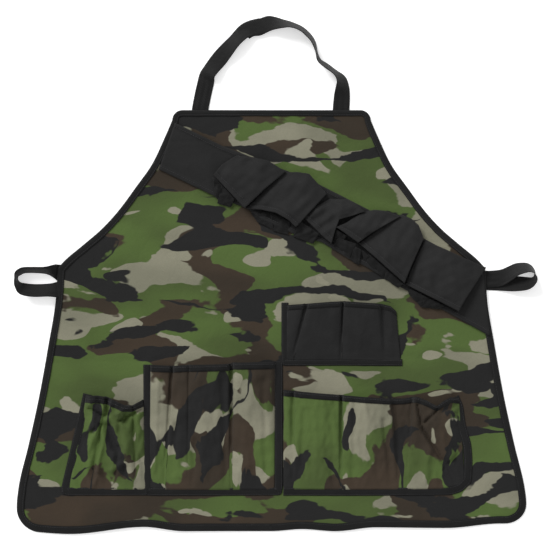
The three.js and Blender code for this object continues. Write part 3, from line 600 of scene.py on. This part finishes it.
def edge_binding():
    ring, spots = even_ring(outline(), 3.0)
    # headings over four steps keep the corners round and the tape free of kinks
    heading = np.roll(ring, -2, axis=0) - np.roll(ring, 2, axis=0)
    heading /= np.linalg.norm(heading, axis=1, keepdims=True)
    inward = np.stack([-heading[:, 1], heading[:, 0]], axis=1)
    pucker = 0.35 * np.sin(spots / 4.1) + 0.5 * field(spots, spots * 0, 60, 21)
    shown = follow(BINDING_SHOWN, ring[:, 1])
    along = reach_along(np.array(BINDING_PROFILE)) * MM
    sections, uvs = [], []
    for i, (edge, side) in enumerate(zip(ring, inward)):
        section = []
        for k, (depth, height) in enumerate(BINDING_PROFILE):
            upper = height > UPPER_LEG
            puff = 0.25 * pucker[i] * depth / BINDING
            place = edge + side * (depth * (shown[i] if upper else 1.0) + puff)
            y = place[1] + float(ripple(place[0], place[1]))
            x, fy = place[0] - MID_X, y - MID_Y
            base = float(top(x, fy)) - CLOTH + puff if upper else float(lie(x, fy))
            section.append((x, fy, max(base + height, 0.0)))
            uvs.append((spots[i] * MM, along[k]))
        sections.append(section)
    nodes = ["binding_" + run for run in
             ("hem", "side_right", "armhole_right", "top", "armhole_left", "side_left")]
    sweep("edge_binding", sections, TAPE, nodes, uvs, closed=True)
    line = []
    for edge, side, share in zip(ring, inward, shown):
        x, y = edge + side * BINDING_SEAM_DEPTH * share
        y += float(ripple(x, y))
        line.append((x - MID_X, y - MID_Y))
    line = np.array(line + line[:1])
    z = top(line[:, 0], line[:, 1]) - CLOTH + BINDING_SEAM_HEIGHT
    return np.column_stack([line, z])


# Stitches


def stitches(name, runs, pitch=3.6, length=2.6):
    """Short rounded stitches along the runs, each run a row of places."""
    verts, faces, uvs = [], [], []
    ring = [(-0.5, 0.0), (-0.3, 0.7), (0.3, 0.7), (0.5, 0.0), (0.0, -0.6)]
    width, rise = 0.75, 0.45
    sides = len(ring)
    for run in runs:
        run = np.asarray(run, float)
        reach = reach_along(run)
        if reach[-1] < pitch:
            continue
        for start in np.arange(pitch * 0.3, reach[-1] - length, pitch):
            spots = [start, start + length * 0.25, start + length * 0.75, start + length]
            middle = resample(run, reach, spots)
            along = middle[-1] - middle[0]
            along /= max(np.linalg.norm(along), 1e-9)
            across = np.cross((0, 0, 1), along)
            across /= max(np.linalg.norm(across), 1e-9)
            up = np.cross(along, across)
            base = len(verts)
            for spot, size in zip(middle, (0.45, 1.0, 1.0, 0.45)):
                for a, b in ring:
                    verts.append(spot + across * a * width * size + up * b * rise * size)
                    uvs.append((a * MM, b * MM))
            for k in range(len(spots) - 1):
                low = base + k * sides
                for j in range(sides):
                    m = (j + 1) % sides
                    faces.append((low + j, low + m, low + sides + m, low + sides + j))
            faces.append(tuple(base + j for j in range(sides - 1, -1, -1)))
            faces.append(tuple(low + sides + j for j in range(sides)))
    return put(name, verts, faces, THREAD, (), uvs)


# Straps


# the webbing in section: shares of its width and of its wall
WEBBING_PROFILE = [
    (-0.5, -0.3), (-0.46, -0.5), (-0.2, -0.5), (0.2, -0.5), (0.46, -0.5), (0.5, -0.3),
    (0.5, 0.3), (0.46, 0.5), (0.2, 0.55), (-0.2, 0.55), (-0.46, 0.5), (-0.5, 0.3),
]


def strap(name, stations, nodes):
    """Webbing through stations of (px, py, turn, roll, height of the lower edge). Turn is the
    heading of the width in the frame, anticlockwise from +X, and roll tips it off the floor."""
    path = smooth_path([(*at(px, py), *rest) for px, py, *rest in stations], 2.2)
    x, y, turn, roll, lift = path.T
    turn, roll = np.radians(turn), np.radians(roll)
    across = np.stack([np.cos(turn) * np.cos(roll), np.sin(turn) * np.cos(roll), np.sin(roll)], axis=1)
    course = np.gradient(path[:, :2], axis=0)
    course = np.column_stack([course, np.zeros(len(course))])
    face = np.cross(across, course)
    face /= np.linalg.norm(face, axis=1, keepdims=True)
    face = np.where(face[:, 2:] < 0, -face, face) if np.mean(face[:, 2]) >= 0 else face
    z = lift + (WEBBING_WIDTH * np.abs(np.sin(roll)) + WEBBING_WALL * np.abs(np.cos(roll))) / 2
    centre = np.column_stack([x, y, z])
    reach = reach_along(centre)
    wave = 0.35 * field(reach, reach * 0, 70, len(name)) * np.abs(np.sin(roll))
    sections, uvs = [], []
    for i in range(len(centre)):
        uvs += [(reach[i] * MM, (a + 0.5) * WEBBING_WIDTH * MM) for a, b in WEBBING_PROFILE]
        sections.append([
            centre[i] + across[i] * a * WEBBING_WIDTH + face[i] * (b * WEBBING_WALL + wave[i])
            for a, b in WEBBING_PROFILE
        ])
    sections = np.array(sections)
    sections[:, :, 2] = np.maximum(sections[:, :, 2], 0.0)
    sweep(name, sections, WEB, nodes, uvs)


def neck_straps():
    # px, py of the middle; turn and roll of the width; height of the lower edge
    left = [
        (200, 124, 0, 0, 0), (200, 112, -1, 0, 0), (202.4, 98, -10, 0, 0), (205.6, 84, -16, -8, 0),
        (207, 78, -26, 6, 0.6), (209.6, 72, -38, 26, 1), (219.6, 59, -45, 12, 0.9),
        (228, 49, -45, 26, 0.6), (235, 41, -43, 36, 0.4), (244, 32, -50, 26, 0), (253, 28, -64, 10, 0),
        (262, 26, -72, 12, 0),
    ]
    right = [
        (243.6, 33.6, -44, 10, 2.4), (249, 30, -56, 8, 2.2), (258, 28, -70, 8, 0.8),
        (269, 23.8, -78, 20, 0), (276, 23.6, -84, 38, 0), (283, 24.4, -94, 54, 0),
        (291, 25.4, -104, 65, 0), (301.5, 29.8, -122, 69, 0), (309, 36.6, -138, 70, 0),
        (313.6, 43.4, -158, 75, 0), (316.5, 53, -172, 82, 0), (319.4, 61.2, -146, 74, 0),
        (326, 66.4, -128, 69, 0), (334.6, 72.8, -130, 69, 0), (340.4, 78.8, -146, 54, 0),
        (342, 86, -168, 38, 0), (341.8, 97, -178, 14, 0), (341, 112, -180, 0, 0), (341, 124, -180, 0, 0),
    ]
    strap("neck_strap_left_half", left, ["neck_strap_left"])
    strap("neck_strap_right_half", right, ["neck_strap_right"])


def waist_straps():
    # the same columns
    left = [
        (74, 274, 90, 0, 0.2), (60, 273, 90, 4, 0.2), (54, 271.5, 90, 40, 0), (46, 270.6, 90, 66, 0),
        (34, 270.2, 91, 70, 0), (25, 270.4, 92, 70, 0), (19.6, 272.8, 110, 72, 0), (17.2, 278, 170, 86, 0),
        (18.8, 284.5, 230, 70, 0), (24, 289, 262, 46, 0), (34, 290.4, 268, 42, 0), (50, 290, 269, 40, 0),
        (57, 289.6, 270, 24, 0), (64, 289, 270, 3, 0.2), (90, 286, 270, 0, 0.2), (150, 281.6, 270, 0, 0.2),
        (230, 281.4, 270, 0, 1.9), (300, 281.4, 270, 0, 1.9),
    ]
    right = [
        (470, 279, 90, 0, 2), (490, 279, 90, 0, 2), (500, 278, 90, -4, 1.8), (508, 274.4, 92, -24, 0.8),
        (517, 269.4, 94, -44, 0), (526, 267.8, 86, -56, 0), (532.4, 270.6, 50, -74, 0),
        (534.2, 275.6, 0, -90, 0), (531.8, 280.2, -50, -116, 0), (525, 283.2, -76, -142, 0),
        (515, 283.6, -86, -156, 0), (505, 282.8, -90, -172, 0), (495, 282.2, -90, -180, 0),
        (470, 281.6, -90, -180, 0.2), (400, 281.5, -90, -180, 0.2), (330, 281.4, -90, -180, 0.1),
        (240, 281.4, -90, -180, 0.1),
    ]
    strap("waist_strap_left_loop", left, ["waist_strap_left"])
    strap("waist_strap_right_loop", right, ["waist_strap_right"])


# Pockets


def crease(px, py, start, end, width, height):
    """A soft ridge or, with a negative height, a valley along a line in the places' own units."""
    (x0, y0), (x1, y1) = start, end
    dx, dy = x1 - x0, y1 - y0
    t = np.clip(((px - x0) * dx + (py - y0) * dy) / (dx * dx + dy * dy), 0, 1)
    away = np.hypot(px - x0 - t * dx, py - y0 - t * dy)
    return height * np.exp(-((away / width) ** 2))


def creases(rows):
    """Soft folds in the photograph's pixels, as one function of the place."""
    return lambda px, py: sum(crease(px, py, *row) for row in rows)


# across a pocket, in pixels: the pitch of its columns, the widest steep fold, and the gaps
# between folds from which the cloth bows out a little and in full
COLUMN_PITCH = 1.3
STEEP_GAP = 2.5
BOWED_GAP = 4
FULL_BOW_GAP = 30
# how far a pocket stands off the cloth, bows between folds, and how its mouth tape sits on it
POCKET_LIFT = 1.6
FOLD_BOW = 1.6
MOUTH_TAPE_WALL = 2.2
MOUTH_TAPE_LIFT = 0.9
MOUTH_SEAM_LIFT = 1.1
POCKET_WRINKLES = [(0.9, 34, 0, (0.8, 1.6)), (0.5, 14, 1, (0.8, 1.5))]


def curve_y(rows, x):
    """Height of an edge in the photograph at a place across it."""
    xs, ys = zip(*rows)
    return np.interp(x, xs, ys)


def fold_columns(folds):
    """Columns across a pocket, each with its fold's four values and how far the cloth bows out."""
    columns = []
    for a, b in zip(np.array(folds[:-1], float), np.array(folds[1:], float)):
        gap = abs(b[0] - a[0])
        count = max(int(gap / COLUMN_PITCH), 2) if gap > STEEP_GAP else 2
        for t in np.linspace(0, 1, count, endpoint=False):
            bow = math.sin(t * math.pi) * min(gap / FULL_BOW_GAP, 1) if gap > BOWED_GAP else 0.0
            columns.append((*(a + (b - a) * t), bow))
    columns.append((*folds[-1], 0))
    return np.array(columns, float).T


def pocket(side, folds, mouth, foot, seed, cut_from=(0, 0), tape=5.6, rows=44, crumple=1, sag=None,
           mat=POCKET_PRINT):
    """A pleated pocket front. Folds are rows of (px at the mouth, px at the foot, height at the
    mouth, height at the foot); steep pairs of rows make a pleat. Gives the mouth's seam."""
    px_mouth, px_foot, high, low, bow = fold_columns(folds)
    count = len(bow)
    edge = np.clip(np.minimum(np.arange(count), np.arange(count)[::-1]) / 3, 0, 1)
    points = np.zeros((rows, count, 3))
    for r, v in enumerate(np.linspace(0, 1, rows)):
        px = px_foot + (px_mouth - px_foot) * v
        py = curve_y(foot, px_foot) * (1 - v) + curve_y(mouth, px_mouth) * v
        x, y = at(px, py)
        open_share = 0.1 + 0.9 * math.sin(v * math.pi / 2)
        height = (low + (high - low) * v + bow * FOLD_BOW) * open_share
        calm = edge * math.sin(min(v * 6, 1) * math.pi / 2)
        height = height + wrinkles(x, y, seed, POCKET_WRINKLES) * calm * crumple
        if sag is not None:
            height = height + sag(px, py) * calm
        points[r] = np.stack([x, y, on(x, y, POCKET_LIFT) + np.maximum(height, 0)], axis=1)
    drop = abs(points[-1, :, 1].mean() - points[0, :, 1].mean())
    cut = int(round(rows * (1 - tape * PIXEL / drop)))
    uvs = lengths(points[: cut + 1]) + np.array(cut_from, float)
    name = side + "_pocket_front"
    cloth(name, points[: cut + 1], CLOTH, mat, [side + "_pocket"], uvs)
    band = points[cut - 1 :].copy()
    band[:, :, 2] += MOUTH_TAPE_LIFT
    band[-1, :, 2] -= 0.5
    cloth(name + "_mouth_tape", band, MOUTH_TAPE_WALL, TAPE, [side + "_pocket_hem"])
    return raised(points[cut + 1], MOUTH_SEAM_LIFT)


def raised(line, lift):
    return line + np.array([0, 0, lift])


# the side tape in section: depth in from its outer edge, and height; it ends with its width
TAPE_RISE = [(0, 0), (0.35, 0.9), (1.2, 1.5), (4, 1.8), (8, 1.85)]
TAPE_FALL = [(1.6, 1.7), (0.4, 1.1), (0, 0.2)]


def side_tape(side, course, width=13):
    """Tape laid round a pocket through places in the photograph; the tape lies on the left."""
    rows = [at(*p) for p in course]
    pts = []
    for a, b in zip(np.array(rows[:-1]), np.array(rows[1:])):
        count = max(int(np.linalg.norm(b - a) / 3), 1)
        pts += [a + (b - a) * t for t in np.linspace(0, 1, count, endpoint=False)]
    soft = np.array(pts + [np.array(rows[-1])])
    for _ in range(3):
        soft[1:-1] = (soft[:-2] + 2 * soft[1:-1] + soft[2:]) / 4
    heading = np.gradient(soft, axis=0)
    heading /= np.linalg.norm(heading, axis=1, keepdims=True)
    inward = np.stack([-heading[:, 1], heading[:, 0]], axis=1)
    profile = TAPE_RISE + [(width - inset, height) for inset, height in TAPE_FALL]
    points = np.zeros((len(profile), len(soft), 3))
    reach = reach_along(soft)
    for k, (depth, height) in enumerate(profile):
        place = soft + inward * depth
        z = on(place[:, 0], place[:, 1], 0.25) + height + 0.12 * np.sin(reach / 3.7)
        points[k] = np.column_stack([place, z])
    uvs = np.stack(np.meshgrid(reach * MM, np.array(profile)[:, 0] * MM), axis=2)
    cloth(side + "_pocket_side_tape", points, 0.1, TAPE, [side + "_pocket_binding"], uvs)
    inner = soft + inward * (width - 2.2)
    outer = soft + inward * 2.0
    return [np.column_stack([p, on(p[:, 0], p[:, 1], 0.25) + 1.65]) for p in (inner, outer)]


def left_pocket():
    sag = creases([
        ((108, 425), (116, 448), 3.4, -13), ((118, 413), (141, 402), 2.2, 6.5),
        ((120, 420), (144, 408), 1.4, -10), ((101, 424), (93, 480), 1.4, -11),
        ((107, 418), (98, 470), 2.6, 7), ((125, 426), (130, 476), 3.6, 5),
        ((119, 446), (113, 486), 1.5, -7), ((82, 420), (78, 472), 2.2, -5),
        ((90, 408), (104, 416), 1.5, -7.5), ((92, 402), (104, 410), 2.2, 4.5),
        ((133, 432), (136, 470), 1.3, -7), ((88, 436), (96, 428), 1.5, -6.5),
        ((110, 470), (124, 462), 2.4, 4.5), ((106, 400), (110, 414), 1.5, -7),
        ((126, 409), (124, 422), 1.6, -6),
    ])
    return pocket(
        "left",
        [(86.4, 68.4, 0, 0), (89.6, 72, 4, 1), (97, 84, 9.5, 2.5), (105, 91, 10.5, 3), (109, 94, 3, 1),
         (113, 97, 11.5, 3.5), (124, 116, 12, 6), (131, 134, 9, 6), (133, 136.5, 3, 0.6),
         (136, 139, 7.5, 5), (141, 144.4, 3, 2), (143.6, 146, 0, 0)],
        [(84, 394.8), (97, 395.2), (107, 396.4), (116, 400), (125, 404.4), (133, 404.8), (139, 401.4),
         (144, 399.2)],
        [(60, 489), (152, 489)],
        31, (1.13, 0.37), tape=7.4, rows=52, crumple=2.8, sag=sag)


def centre_pocket():
    sag = creases([
        ((177, 424), (171, 472), 3, -4.5), ((183, 380), (180, 420), 4, 2),
        ((201, 380), (205, 470), 7, 2.5), ((222, 374), (226, 480), 3, -2.6),
        ((250, 374), (245, 482), 7, 2.6), ((263, 380), (266, 470), 3, -2.2),
        ((158, 380), (155, 470), 2.4, 2), ((196, 440), (192, 484), 3, -2.6),
    ])
    return pocket(
        "centre",
        [(150.5, 149.5, 0, 0), (152, 150.5, 5.5, 1), (160, 157, 8, 2.6), (170, 162, 6, 1.6),
         (171.4, 163, 1.2, 0.4), (174, 165, 0.8, 0.3), (173.7, 164.8, 4, 1.6), (174.6, 165.8, 8, 3.4),
         (177, 168, 9.5, 4), (187.5, 186, 12, 6.5), (189, 187.6, 9.6, 4.6), (190.6, 189, 12, 6.5),
         (212, 211, 14.5, 8.5), (228.5, 229, 10, 5.4), (230, 230.4, 1.4, 0.6), (233.4, 232.4, 0.8, 0.3),
         (233, 232.2, 4.5, 2), (234, 233.2, 9.5, 5), (237, 236, 11.5, 6.5), (254, 253, 13, 8),
         (270, 268.5, 9, 5), (273, 271.5, 6, 3), (275.4, 274.4, 0, 0)],
        [(150, 364.5), (173, 365.5), (186, 364.5), (230, 363.5), (234, 362), (278, 361.5)],
        [(145, 489), (215, 489.6), (285, 489.4)],
        41, (0.31, 0.12), tape=7.6, rows=56, sag=sag)


def right_pocket():
    sag = creases([
        ((416.5, 404), (421.7, 428), 1.4, -8.5), ((421.7, 428), (445, 465), 1.4, -12),
        ((436, 410), (424, 422), 1.5, -6), ((431, 414), (450, 454), 4, 6.5),
        ((444, 469), (459, 452), 1.5, -7), ((449, 465), (455, 482), 2.4, -8),
        ((457, 412), (462, 446), 2, -3.5), ((428, 450), (424, 486), 4, 3.5),
        ((318, 400), (322, 480), 7, 2.4), ((304, 410), (300, 470), 3, -2.6),
        ((330, 405), (333, 480), 3, -2), ((366, 400), (372, 480), 6, 2.6),
        ((383, 420), (391, 484), 2.4, -4), ((355, 404), (352, 470), 3, -2),
        ((440, 412), (455, 404), 2.6, -3),
    ])
    return pocket(
        "right",
        [(283.4, 283.4, 0, 0), (284.6, 284.4, 3, 1), (290, 289, 4.5, 2), (292.4, 291.4, 1.4, 0.5),
         (294, 293, 1.2, 0.4), (295.4, 294.2, 7.5, 3), (298, 297, 9, 4), (316, 316, 13, 7.5),
         (338.4, 338.4, 9.5, 5), (340, 340, 1.4, 0.6), (342.4, 342, 0.8, 0.3), (342.1, 341.8, 4.5, 2),
         (343, 342.8, 9.5, 5), (346, 346, 11.5, 6.4), (368, 368, 13.5, 8), (389, 397.6, 11, 5),
         (391.6, 399.6, 2.4, 0.8), (394.6, 401.2, 0.8, 0.3), (399, 402.4, 2.2, 1), (406, 404, 2.6, 1),
         (411.4, 405.2, 1.2, 0.5), (412.8, 406, 4.6, 2), (413.8, 407, 9.8, 3.6),
         (417, 411, 12.4, 5), (421, 424, 13, 5.5), (436, 440, 10, 5), (447, 450, 13.5, 6), (455, 456, 8, 3),
         (457.6, 462, 3, 1.4), (459, 464.6, 0, 0)],
        [(284, 389.5), (341, 394.5), (394, 398.5), (404, 398), (416, 396), (426, 400), (436, 405.5),
         (443, 400), (450, 396.5), (459, 398)],
        [(284, 489), (340, 489.2), (400, 489), (440, 488.5), (468, 484)],
        51, (2.57, 0.83), rows=48, crumple=1.1, sag=sag)


def lower_pockets():
    runs = [left_pocket(), centre_pocket(), right_pocket()]
    runs += side_tape("left", [
        (83.5, 393), (75, 430), (61.5, 487), (61.5, 494.6), (70, 495.4), (148, 495),
    ])
    runs += side_tape("centre", [
        (143.4, 364.5), (143.6, 420), (144, 488), (144.6, 495), (153, 495.4), (215, 495.6),
        (281.5, 495.2), (283, 487), (283.2, 420), (282.8, 361),
    ])
    runs += side_tape("right", [
        (283.3, 495.4), (340, 495.6), (400, 495.2), (450, 495), (462, 491.5), (471.5, 482),
        (472.4, 462), (471.2, 444), (465.6, 425), (463, 405), (458.6, 395),
    ])
    return runs


def tool_pocket():
    seam = pocket(
        "tool",
        [(287.5, 286, 0, 0), (289, 287, 4, 1), (298, 289, 7, 2.6), (303.6, 290.6, 6.5, 2.6),
         (305, 291.4, 1.2, 0.6), (308.6, 293, 0.8, 0.3), (308.2, 292.8, 4, 1.4), (309.2, 293.8, 7, 3.2),
         (312, 297, 8.4, 4.4), (326, 318, 9.5, 5.5), (340.6, 338.6, 8, 4), (341.8, 339.8, 1.2, 0.5),
         (344, 341.4, 0.8, 0.3), (343.7, 341.2, 4, 1.6), (344.5, 342, 7.4, 3.6), (347, 344.5, 8.8, 4.8),
         (362, 362, 9.8, 5.8), (377.6, 383, 8.8, 4.8), (379.2, 384.8, 3, 1.6), (380.4, 386, 0.8, 0.3),
         (383, 387.6, 1.2, 0.5), (385, 389.5, 2.4, 1.2), (390, 394, 4.5, 2.2), (394.4, 398.4, 2.2, 1.2),
         (396, 400.4, 0, 0)],
        [(286, 305), (306, 303.6), (330, 301.6), (344, 301), (380, 303.5), (390, 306), (397, 312)],
        [(284, 360), (345, 360), (402, 361)],
        61, tape=4.2, rows=34, crumple=0.6, mat=BLACK)
    course = [(281.4, 302.6), (281.4, 340), (281.6, 365.8), (345, 365.6), (402, 366)]
    return [seam, *side_tape("tool", course, 10.5)]


# Bandolier


def edge_curve(points, count):
    """Evenly spaced places along a row of (px, py) or (px, py, height)."""
    pts = np.array(points, float)
    reach = reach_along(pts[:, :2])
    return resample(pts, reach, np.linspace(0, reach[-1], count))


def shares(across, up):
    """The two coordinates of a grid, from 0 to 1."""
    return np.linspace(0, 1, across)[None, :], np.linspace(0, 1, up)[:, None]


def patch(low, high, left, right, across, up):
    """A surface between four edges that share their corners."""
    low, high = edge_curve(low, across), edge_curve(high, across)
    left, right = edge_curve(left, up), edge_curve(right, up)
    u, v = (share[..., None] for share in shares(across, up))
    ruled = low[None] * (1 - v) + high[None] * v + left[:, None] * (1 - u) + right[:, None] * u
    near = low[0] * (1 - v) + high[0] * v
    far = low[-1] * (1 - v) + high[-1] * v
    return ruled - near * (1 - u) - far * u


def to_the_band(points, side):
    """Three columns that take one side of a sleeve down to the band, from the top."""
    edge = points[:, side]
    foot = edge.copy()
    foot[:, 2] = np.minimum(on(edge[:, 0], edge[:, 1], 0.7) + CLOTH, edge[:, 2] - 0.5)
    turn = edge.copy()
    turn[:, 2] -= np.minimum(0.9, (edge[:, 2] - foot[:, 2]) * 0.3)
    return np.stack([turn, (edge + foot) / 2, foot], axis=1)


# how far the band and its sleeves lie above what is under them
BAND_LIFT = 0.4
SLEEVE_GAP = 0.4
# the stitched line of a sleeve's hem, in from its edge
SLEEVE_SEAM = 6.4
SLEEVE_WRINKLES = [(1.5, 42, 0, (1, 1)), (0.8, 18, 1, (1, 1))]
GUSSET_WRINKLES = [(0.96, 17, 0, (1, 1)), (0.48, 8, 50, (1, 1))]
GUSSET_BOW = 1.2


def sleeve_front(number, bow, crumple, low, high, left, right):
    """One sleeve's front, between its open hem, its top and its sides; the sides' ends are the
    ends of hem and top. Heights are above the band. Gives the hem's seam."""
    across, up = 46, 40
    left, right = [low[0], *left, high[0]], [low[-1], *right, high[-1]]
    g = patch(low, high, left, right, across, up)
    x, y = at(g[..., 0], g[..., 1])
    u, v = shares(across, up)
    calm = np.clip(np.minimum(u, 1 - u) * 8, 0, 1) * np.clip(np.minimum(v, 1 - v) * 8, 0.25, 1)
    dome = np.sin(u * math.pi) * (0.6 + 0.4 * np.sin(v * math.pi)) * bow
    wrinkle = wrinkles(x, y, 79 + 2 * number, SLEEVE_WRINKLES) * calm * crumple
    z = on(x, y, BAND_LIFT) + CLOTH + SLEEVE_GAP + g[..., 2] + dome + wrinkle
    # the hem is folded over once and stitched down
    reach = np.linalg.norm(np.diff(np.stack([x, y], axis=2), axis=0), axis=2).mean(axis=1)
    reach = np.concatenate([[0], np.cumsum(reach)])[:, None]
    fold = 0.8 * (1 - step(5.8, 7.4, reach)) - 0.9 * np.exp(-(((reach - 7.8) / 1.2) ** 2))
    points = np.stack([x, y, z + fold], axis=2)
    seam = raised(points[int(np.argmin(np.abs(reach[:, 0] - SLEEVE_SEAM)))], 0.15)
    sides = to_the_band(points, 0)[:, ::-1], to_the_band(points, across - 1)
    points = np.concatenate([sides[0], points, sides[1]], axis=1)
    cloth(f"bandolier_sleeve_front_{number}", points, CLOTH, BLACK, [f"bandolier_sleeve_{number}"])
    return seam


def flap(name, corners, seed):
    """A loose four-cornered piece of a gusset: corners in the photograph with their heights."""
    a, b, c, d = corners
    count = 22
    g = patch([a, b], [d, c], [a, d], [b, c], count, count)
    x, y = at(g[..., 0], g[..., 1])
    u, v = shares(count, count)
    dome = np.sin(u * math.pi) * np.sin(v * math.pi) * GUSSET_BOW
    z = on(x, y, BAND_LIFT) + g[..., 2] + dome + wrinkles(x, y, seed, GUSSET_WRINKLES)
    z = np.maximum(z, on(x, y, 0.2) + CLOTH)
    # the gusset is drawn in the darker copy of the black cloth, as painted shade under the sleeve's hem
    cloth(name, np.stack([x, y, z], axis=2), CLOTH, BLACK_PAINTED_SHADE, ())


def flat_band():
    """The band under the sleeves, from the left binding to the right one. Gives its two seams."""
    across = np.linspace(0, 1, 30)[:, None]
    low = edge_curve([
        (159, 169.5), (213, 195.6), (231, 202.6), (246, 208), (262, 219.6), (280, 228), (300, 236.4),
        (322, 242.4), (348, 258.6), (362, 264.6), (378, 274), (400, 287), (440, 308.4), (489.5, 336),
    ], 190)
    high = edge_curve([(175, 123), (222, 146), (310, 180), (400, 226), (452, 254), (482.5, 270)], 190)
    g = low[None] * (1 - across[..., None]) + high[None] * across[..., None]
    x, y = at(g[..., 0], g[..., 1])
    calm = np.clip(np.minimum(across, 1 - across) * 6, 0, 1)
    lift = 0.45 + 0.5 * np.maximum(field(x, y, 46, 71), -0.5) * calm
    hem = 1.5 * ((across < 0.07) | (across > 0.93))
    points = np.stack([x, y, on(x, y, 0.3) + CLOTH + lift * 0.8 + hem], axis=2)
    cloth("bandolier_flat_band", points, CLOTH, BLACK, ["bandolier_band"])
    return [raised(points[row], 0.2) for row in (2, 27)]


# sleeves by (bow, crumple, hem, top, left side, right side), in rows of (px, py, height)
SLEEVES = [
    (2.5, 0.7,
     [(214, 175, 9), (222, 184, 10), (234, 197, 12), (244.6, 208.4, 14)],
     [(236, 156, 3), (252, 157.5, 5), (268, 161, 7), (285.6, 172, 8)],
     [(222, 165, 5)], [(264, 190, 13)]),
    (2.5, 0.8,
     [(246.6, 208.8, 5), (260, 209.6, 9.754), (276, 213, 13.454), (288, 220, 15.7), (296, 227.4, 14)],
     [(284, 172.6, 3), (297, 172.4, 5), (309, 174, 6), (326.6, 194.2, 8)],
     [(265, 190.5, 4)], [(310, 212, 13)]),
    (2, 1.5,
     [(304, 218, 7), (312, 226, 9), (322, 236, 11), (331, 244, 12)],
     [(330, 199, 4), (347, 199.5, 6), (356, 205, 9), (364.4, 212, 11)],
     [(313, 208, 5)], [(335, 230, 15), (339, 219.6, 14), (350, 216.6, 12)]),
    (1.6, 1,
     [(336, 227.4, 15), (343, 232, 16), (350, 237.5, 16), (357.6, 243, 15)],
     [(364, 212, 8), (374, 210, 8), (384, 211, 9), (400, 216.6, 9)],
     [(346, 223, 14), (352, 219, 11)], [(370, 234, 15), (384, 225.6, 13)]),
    (3, 0.8,
     [(358.8, 243.6, 8), (373, 256, 13), (388, 269.5, 15), (403.6, 283, 15)],
     [(401, 214.6, 5), (411, 219, 6), (418, 225.4, 7), (423, 238.6, 8)],
     [(378, 229.4, 6)], [(408, 272, 15), (415, 256, 12)]),
    (2.6, 0.7,
     [(405.4, 284.6, 6), (422, 293, 11), (440, 302, 13), (457.6, 311, 12)],
     [(424, 240.6, 3), (444, 249, 6), (464, 258.4, 7), (485.4, 267.6, 5)],
     [(409, 272, 5)], [(465, 298, 12), (474.6, 283.6, 9)]),
]

# loose pieces of the gussets under the sleeves: name, and corners of (px, py, height)
GUSSETS = [
    ("1a", [(213.4, 178, 8), (222, 185.5, 7), (219, 200, 2), (215, 196, 2)]),
    ("1b", [(222, 185, 8), (235, 199, 8), (231, 207, 1.5), (217.5, 203.4, 1.5)]),
    ("2a", [(250, 210, 1), (272, 212.5, 1), (274, 230, 0.6), (257, 222, 0.6)]),
    ("2b", [(270, 212, 2.5), (291, 222, 3), (288, 234.6, 0.8), (273, 231, 0.6)]),
    ("3a", [(300, 221, 7), (319, 234, 8), (313, 243.6, 1.5), (293, 236.5, 1.5)]),
    ("3b", [(336, 230, 11), (346, 236, 10), (340, 246, 2), (333, 243, 2)]),
    ("4a", [(338, 238, 9), (356, 244, 10), (349, 259.4, 1.5), (333, 244, 1.5)]),
    ("4b", [(354, 246, 9), (360.6, 250, 9), (359, 265.4, 1.5), (350, 260, 1.5)]),
    ("4c", [(362, 250.6, 9), (368.6, 256, 9), (367.6, 262.4, 1.5), (363.8, 261.4, 1.5)]),
    ("5a", [(368, 254, 9), (388, 271, 10), (384, 278.4, 1.5), (366, 262.4, 1.5)]),
    ("5b", [(386, 270, 9), (403, 284, 10), (398, 287.4, 1.5), (384, 278.4, 1.5)]),
    ("6a", [(406, 287, 6), (424, 296, 9), (421, 307, 1.5), (409, 294, 1.5)]),
    ("6b", [(423, 295.6, 9), (443, 305.4, 9), (440, 308.6, 1.5), (421.6, 307, 1.5)]),
]


def bandolier():
    runs = flat_band()
    for number, row in enumerate(SLEEVES, 1):
        runs.append(sleeve_front(number, *row))
    for seed, (name, corners) in enumerate(GUSSETS, 101):
        flap("gusset_" + name, corners, seed)
    return runs


# Build

apron = body_panel()
stitches("stitching_edge", [edge_binding()])
neck_straps()
waist_straps()
stitches("stitching_pockets", lower_pockets() + tool_pocket())
stitches("stitching_bandolier", bandolier(), pitch=3.4, length=2.4)

flat_size, flat_area = cut_size()


# Floor, light and camera


def stage():
    mesh = bpy.data.meshes.new("floor")
    half = 6.0
    corners = [(-half, -half, 0), (half, -half, 0), (half, half, 0), (-half, half, 0)]
    mesh.from_pydata(corners, [], [(0, 1, 2, 3)])
    floor = bpy.data.objects.new("floor", mesh)
    floor.location.z = -0.0004
    mat = bpy.data.materials.new("floor_paper")
    mat.use_nodes = True
    paper = {
        "Base Color": (0.97, 0.97, 0.97, 1), "Roughness": 0.9,
        "Emission Color": (1, 1, 1, 1), "Emission Strength": 0.4,
    }
    for name, value in paper.items():
        mat.node_tree.nodes["Principled BSDF"].inputs[name].default_value = value
    mesh.materials.append(mat)
    scene = bpy.context.scene
    scene.collection.objects.link(floor)

    world = bpy.data.worlds.new("studio")
    world.use_nodes = True
    light = world.node_tree.nodes["Background"].inputs
    light["Color"].default_value = (1, 1, 1, 1)
    light["Strength"].default_value = 0.62
    scene.world = world

    sun = bpy.data.lights.new("key", "SUN")
    sun.energy = 2.3
    sun.angle = math.radians(24)
    key = bpy.data.objects.new("key", sun)
    key.rotation_euler = Vector((0.62, -0.78, -0.78)).to_track_quat("-Z", "Y").to_euler()
    scene.collection.objects.link(key)

    camera = bpy.data.cameras.new("camera")
    distance = 3.2
    picture = 550 * PIXEL * MM
    camera.sensor_width = 36
    camera.lens = camera.sensor_width * distance / picture
    obj = bpy.data.objects.new("camera", camera)
    x, y = at(275, 275)
    obj.location = (x * MM, y * MM, distance)
    scene.collection.objects.link(obj)
    scene.camera = obj
    scene.view_settings.view_transform = "Standard"


stage()
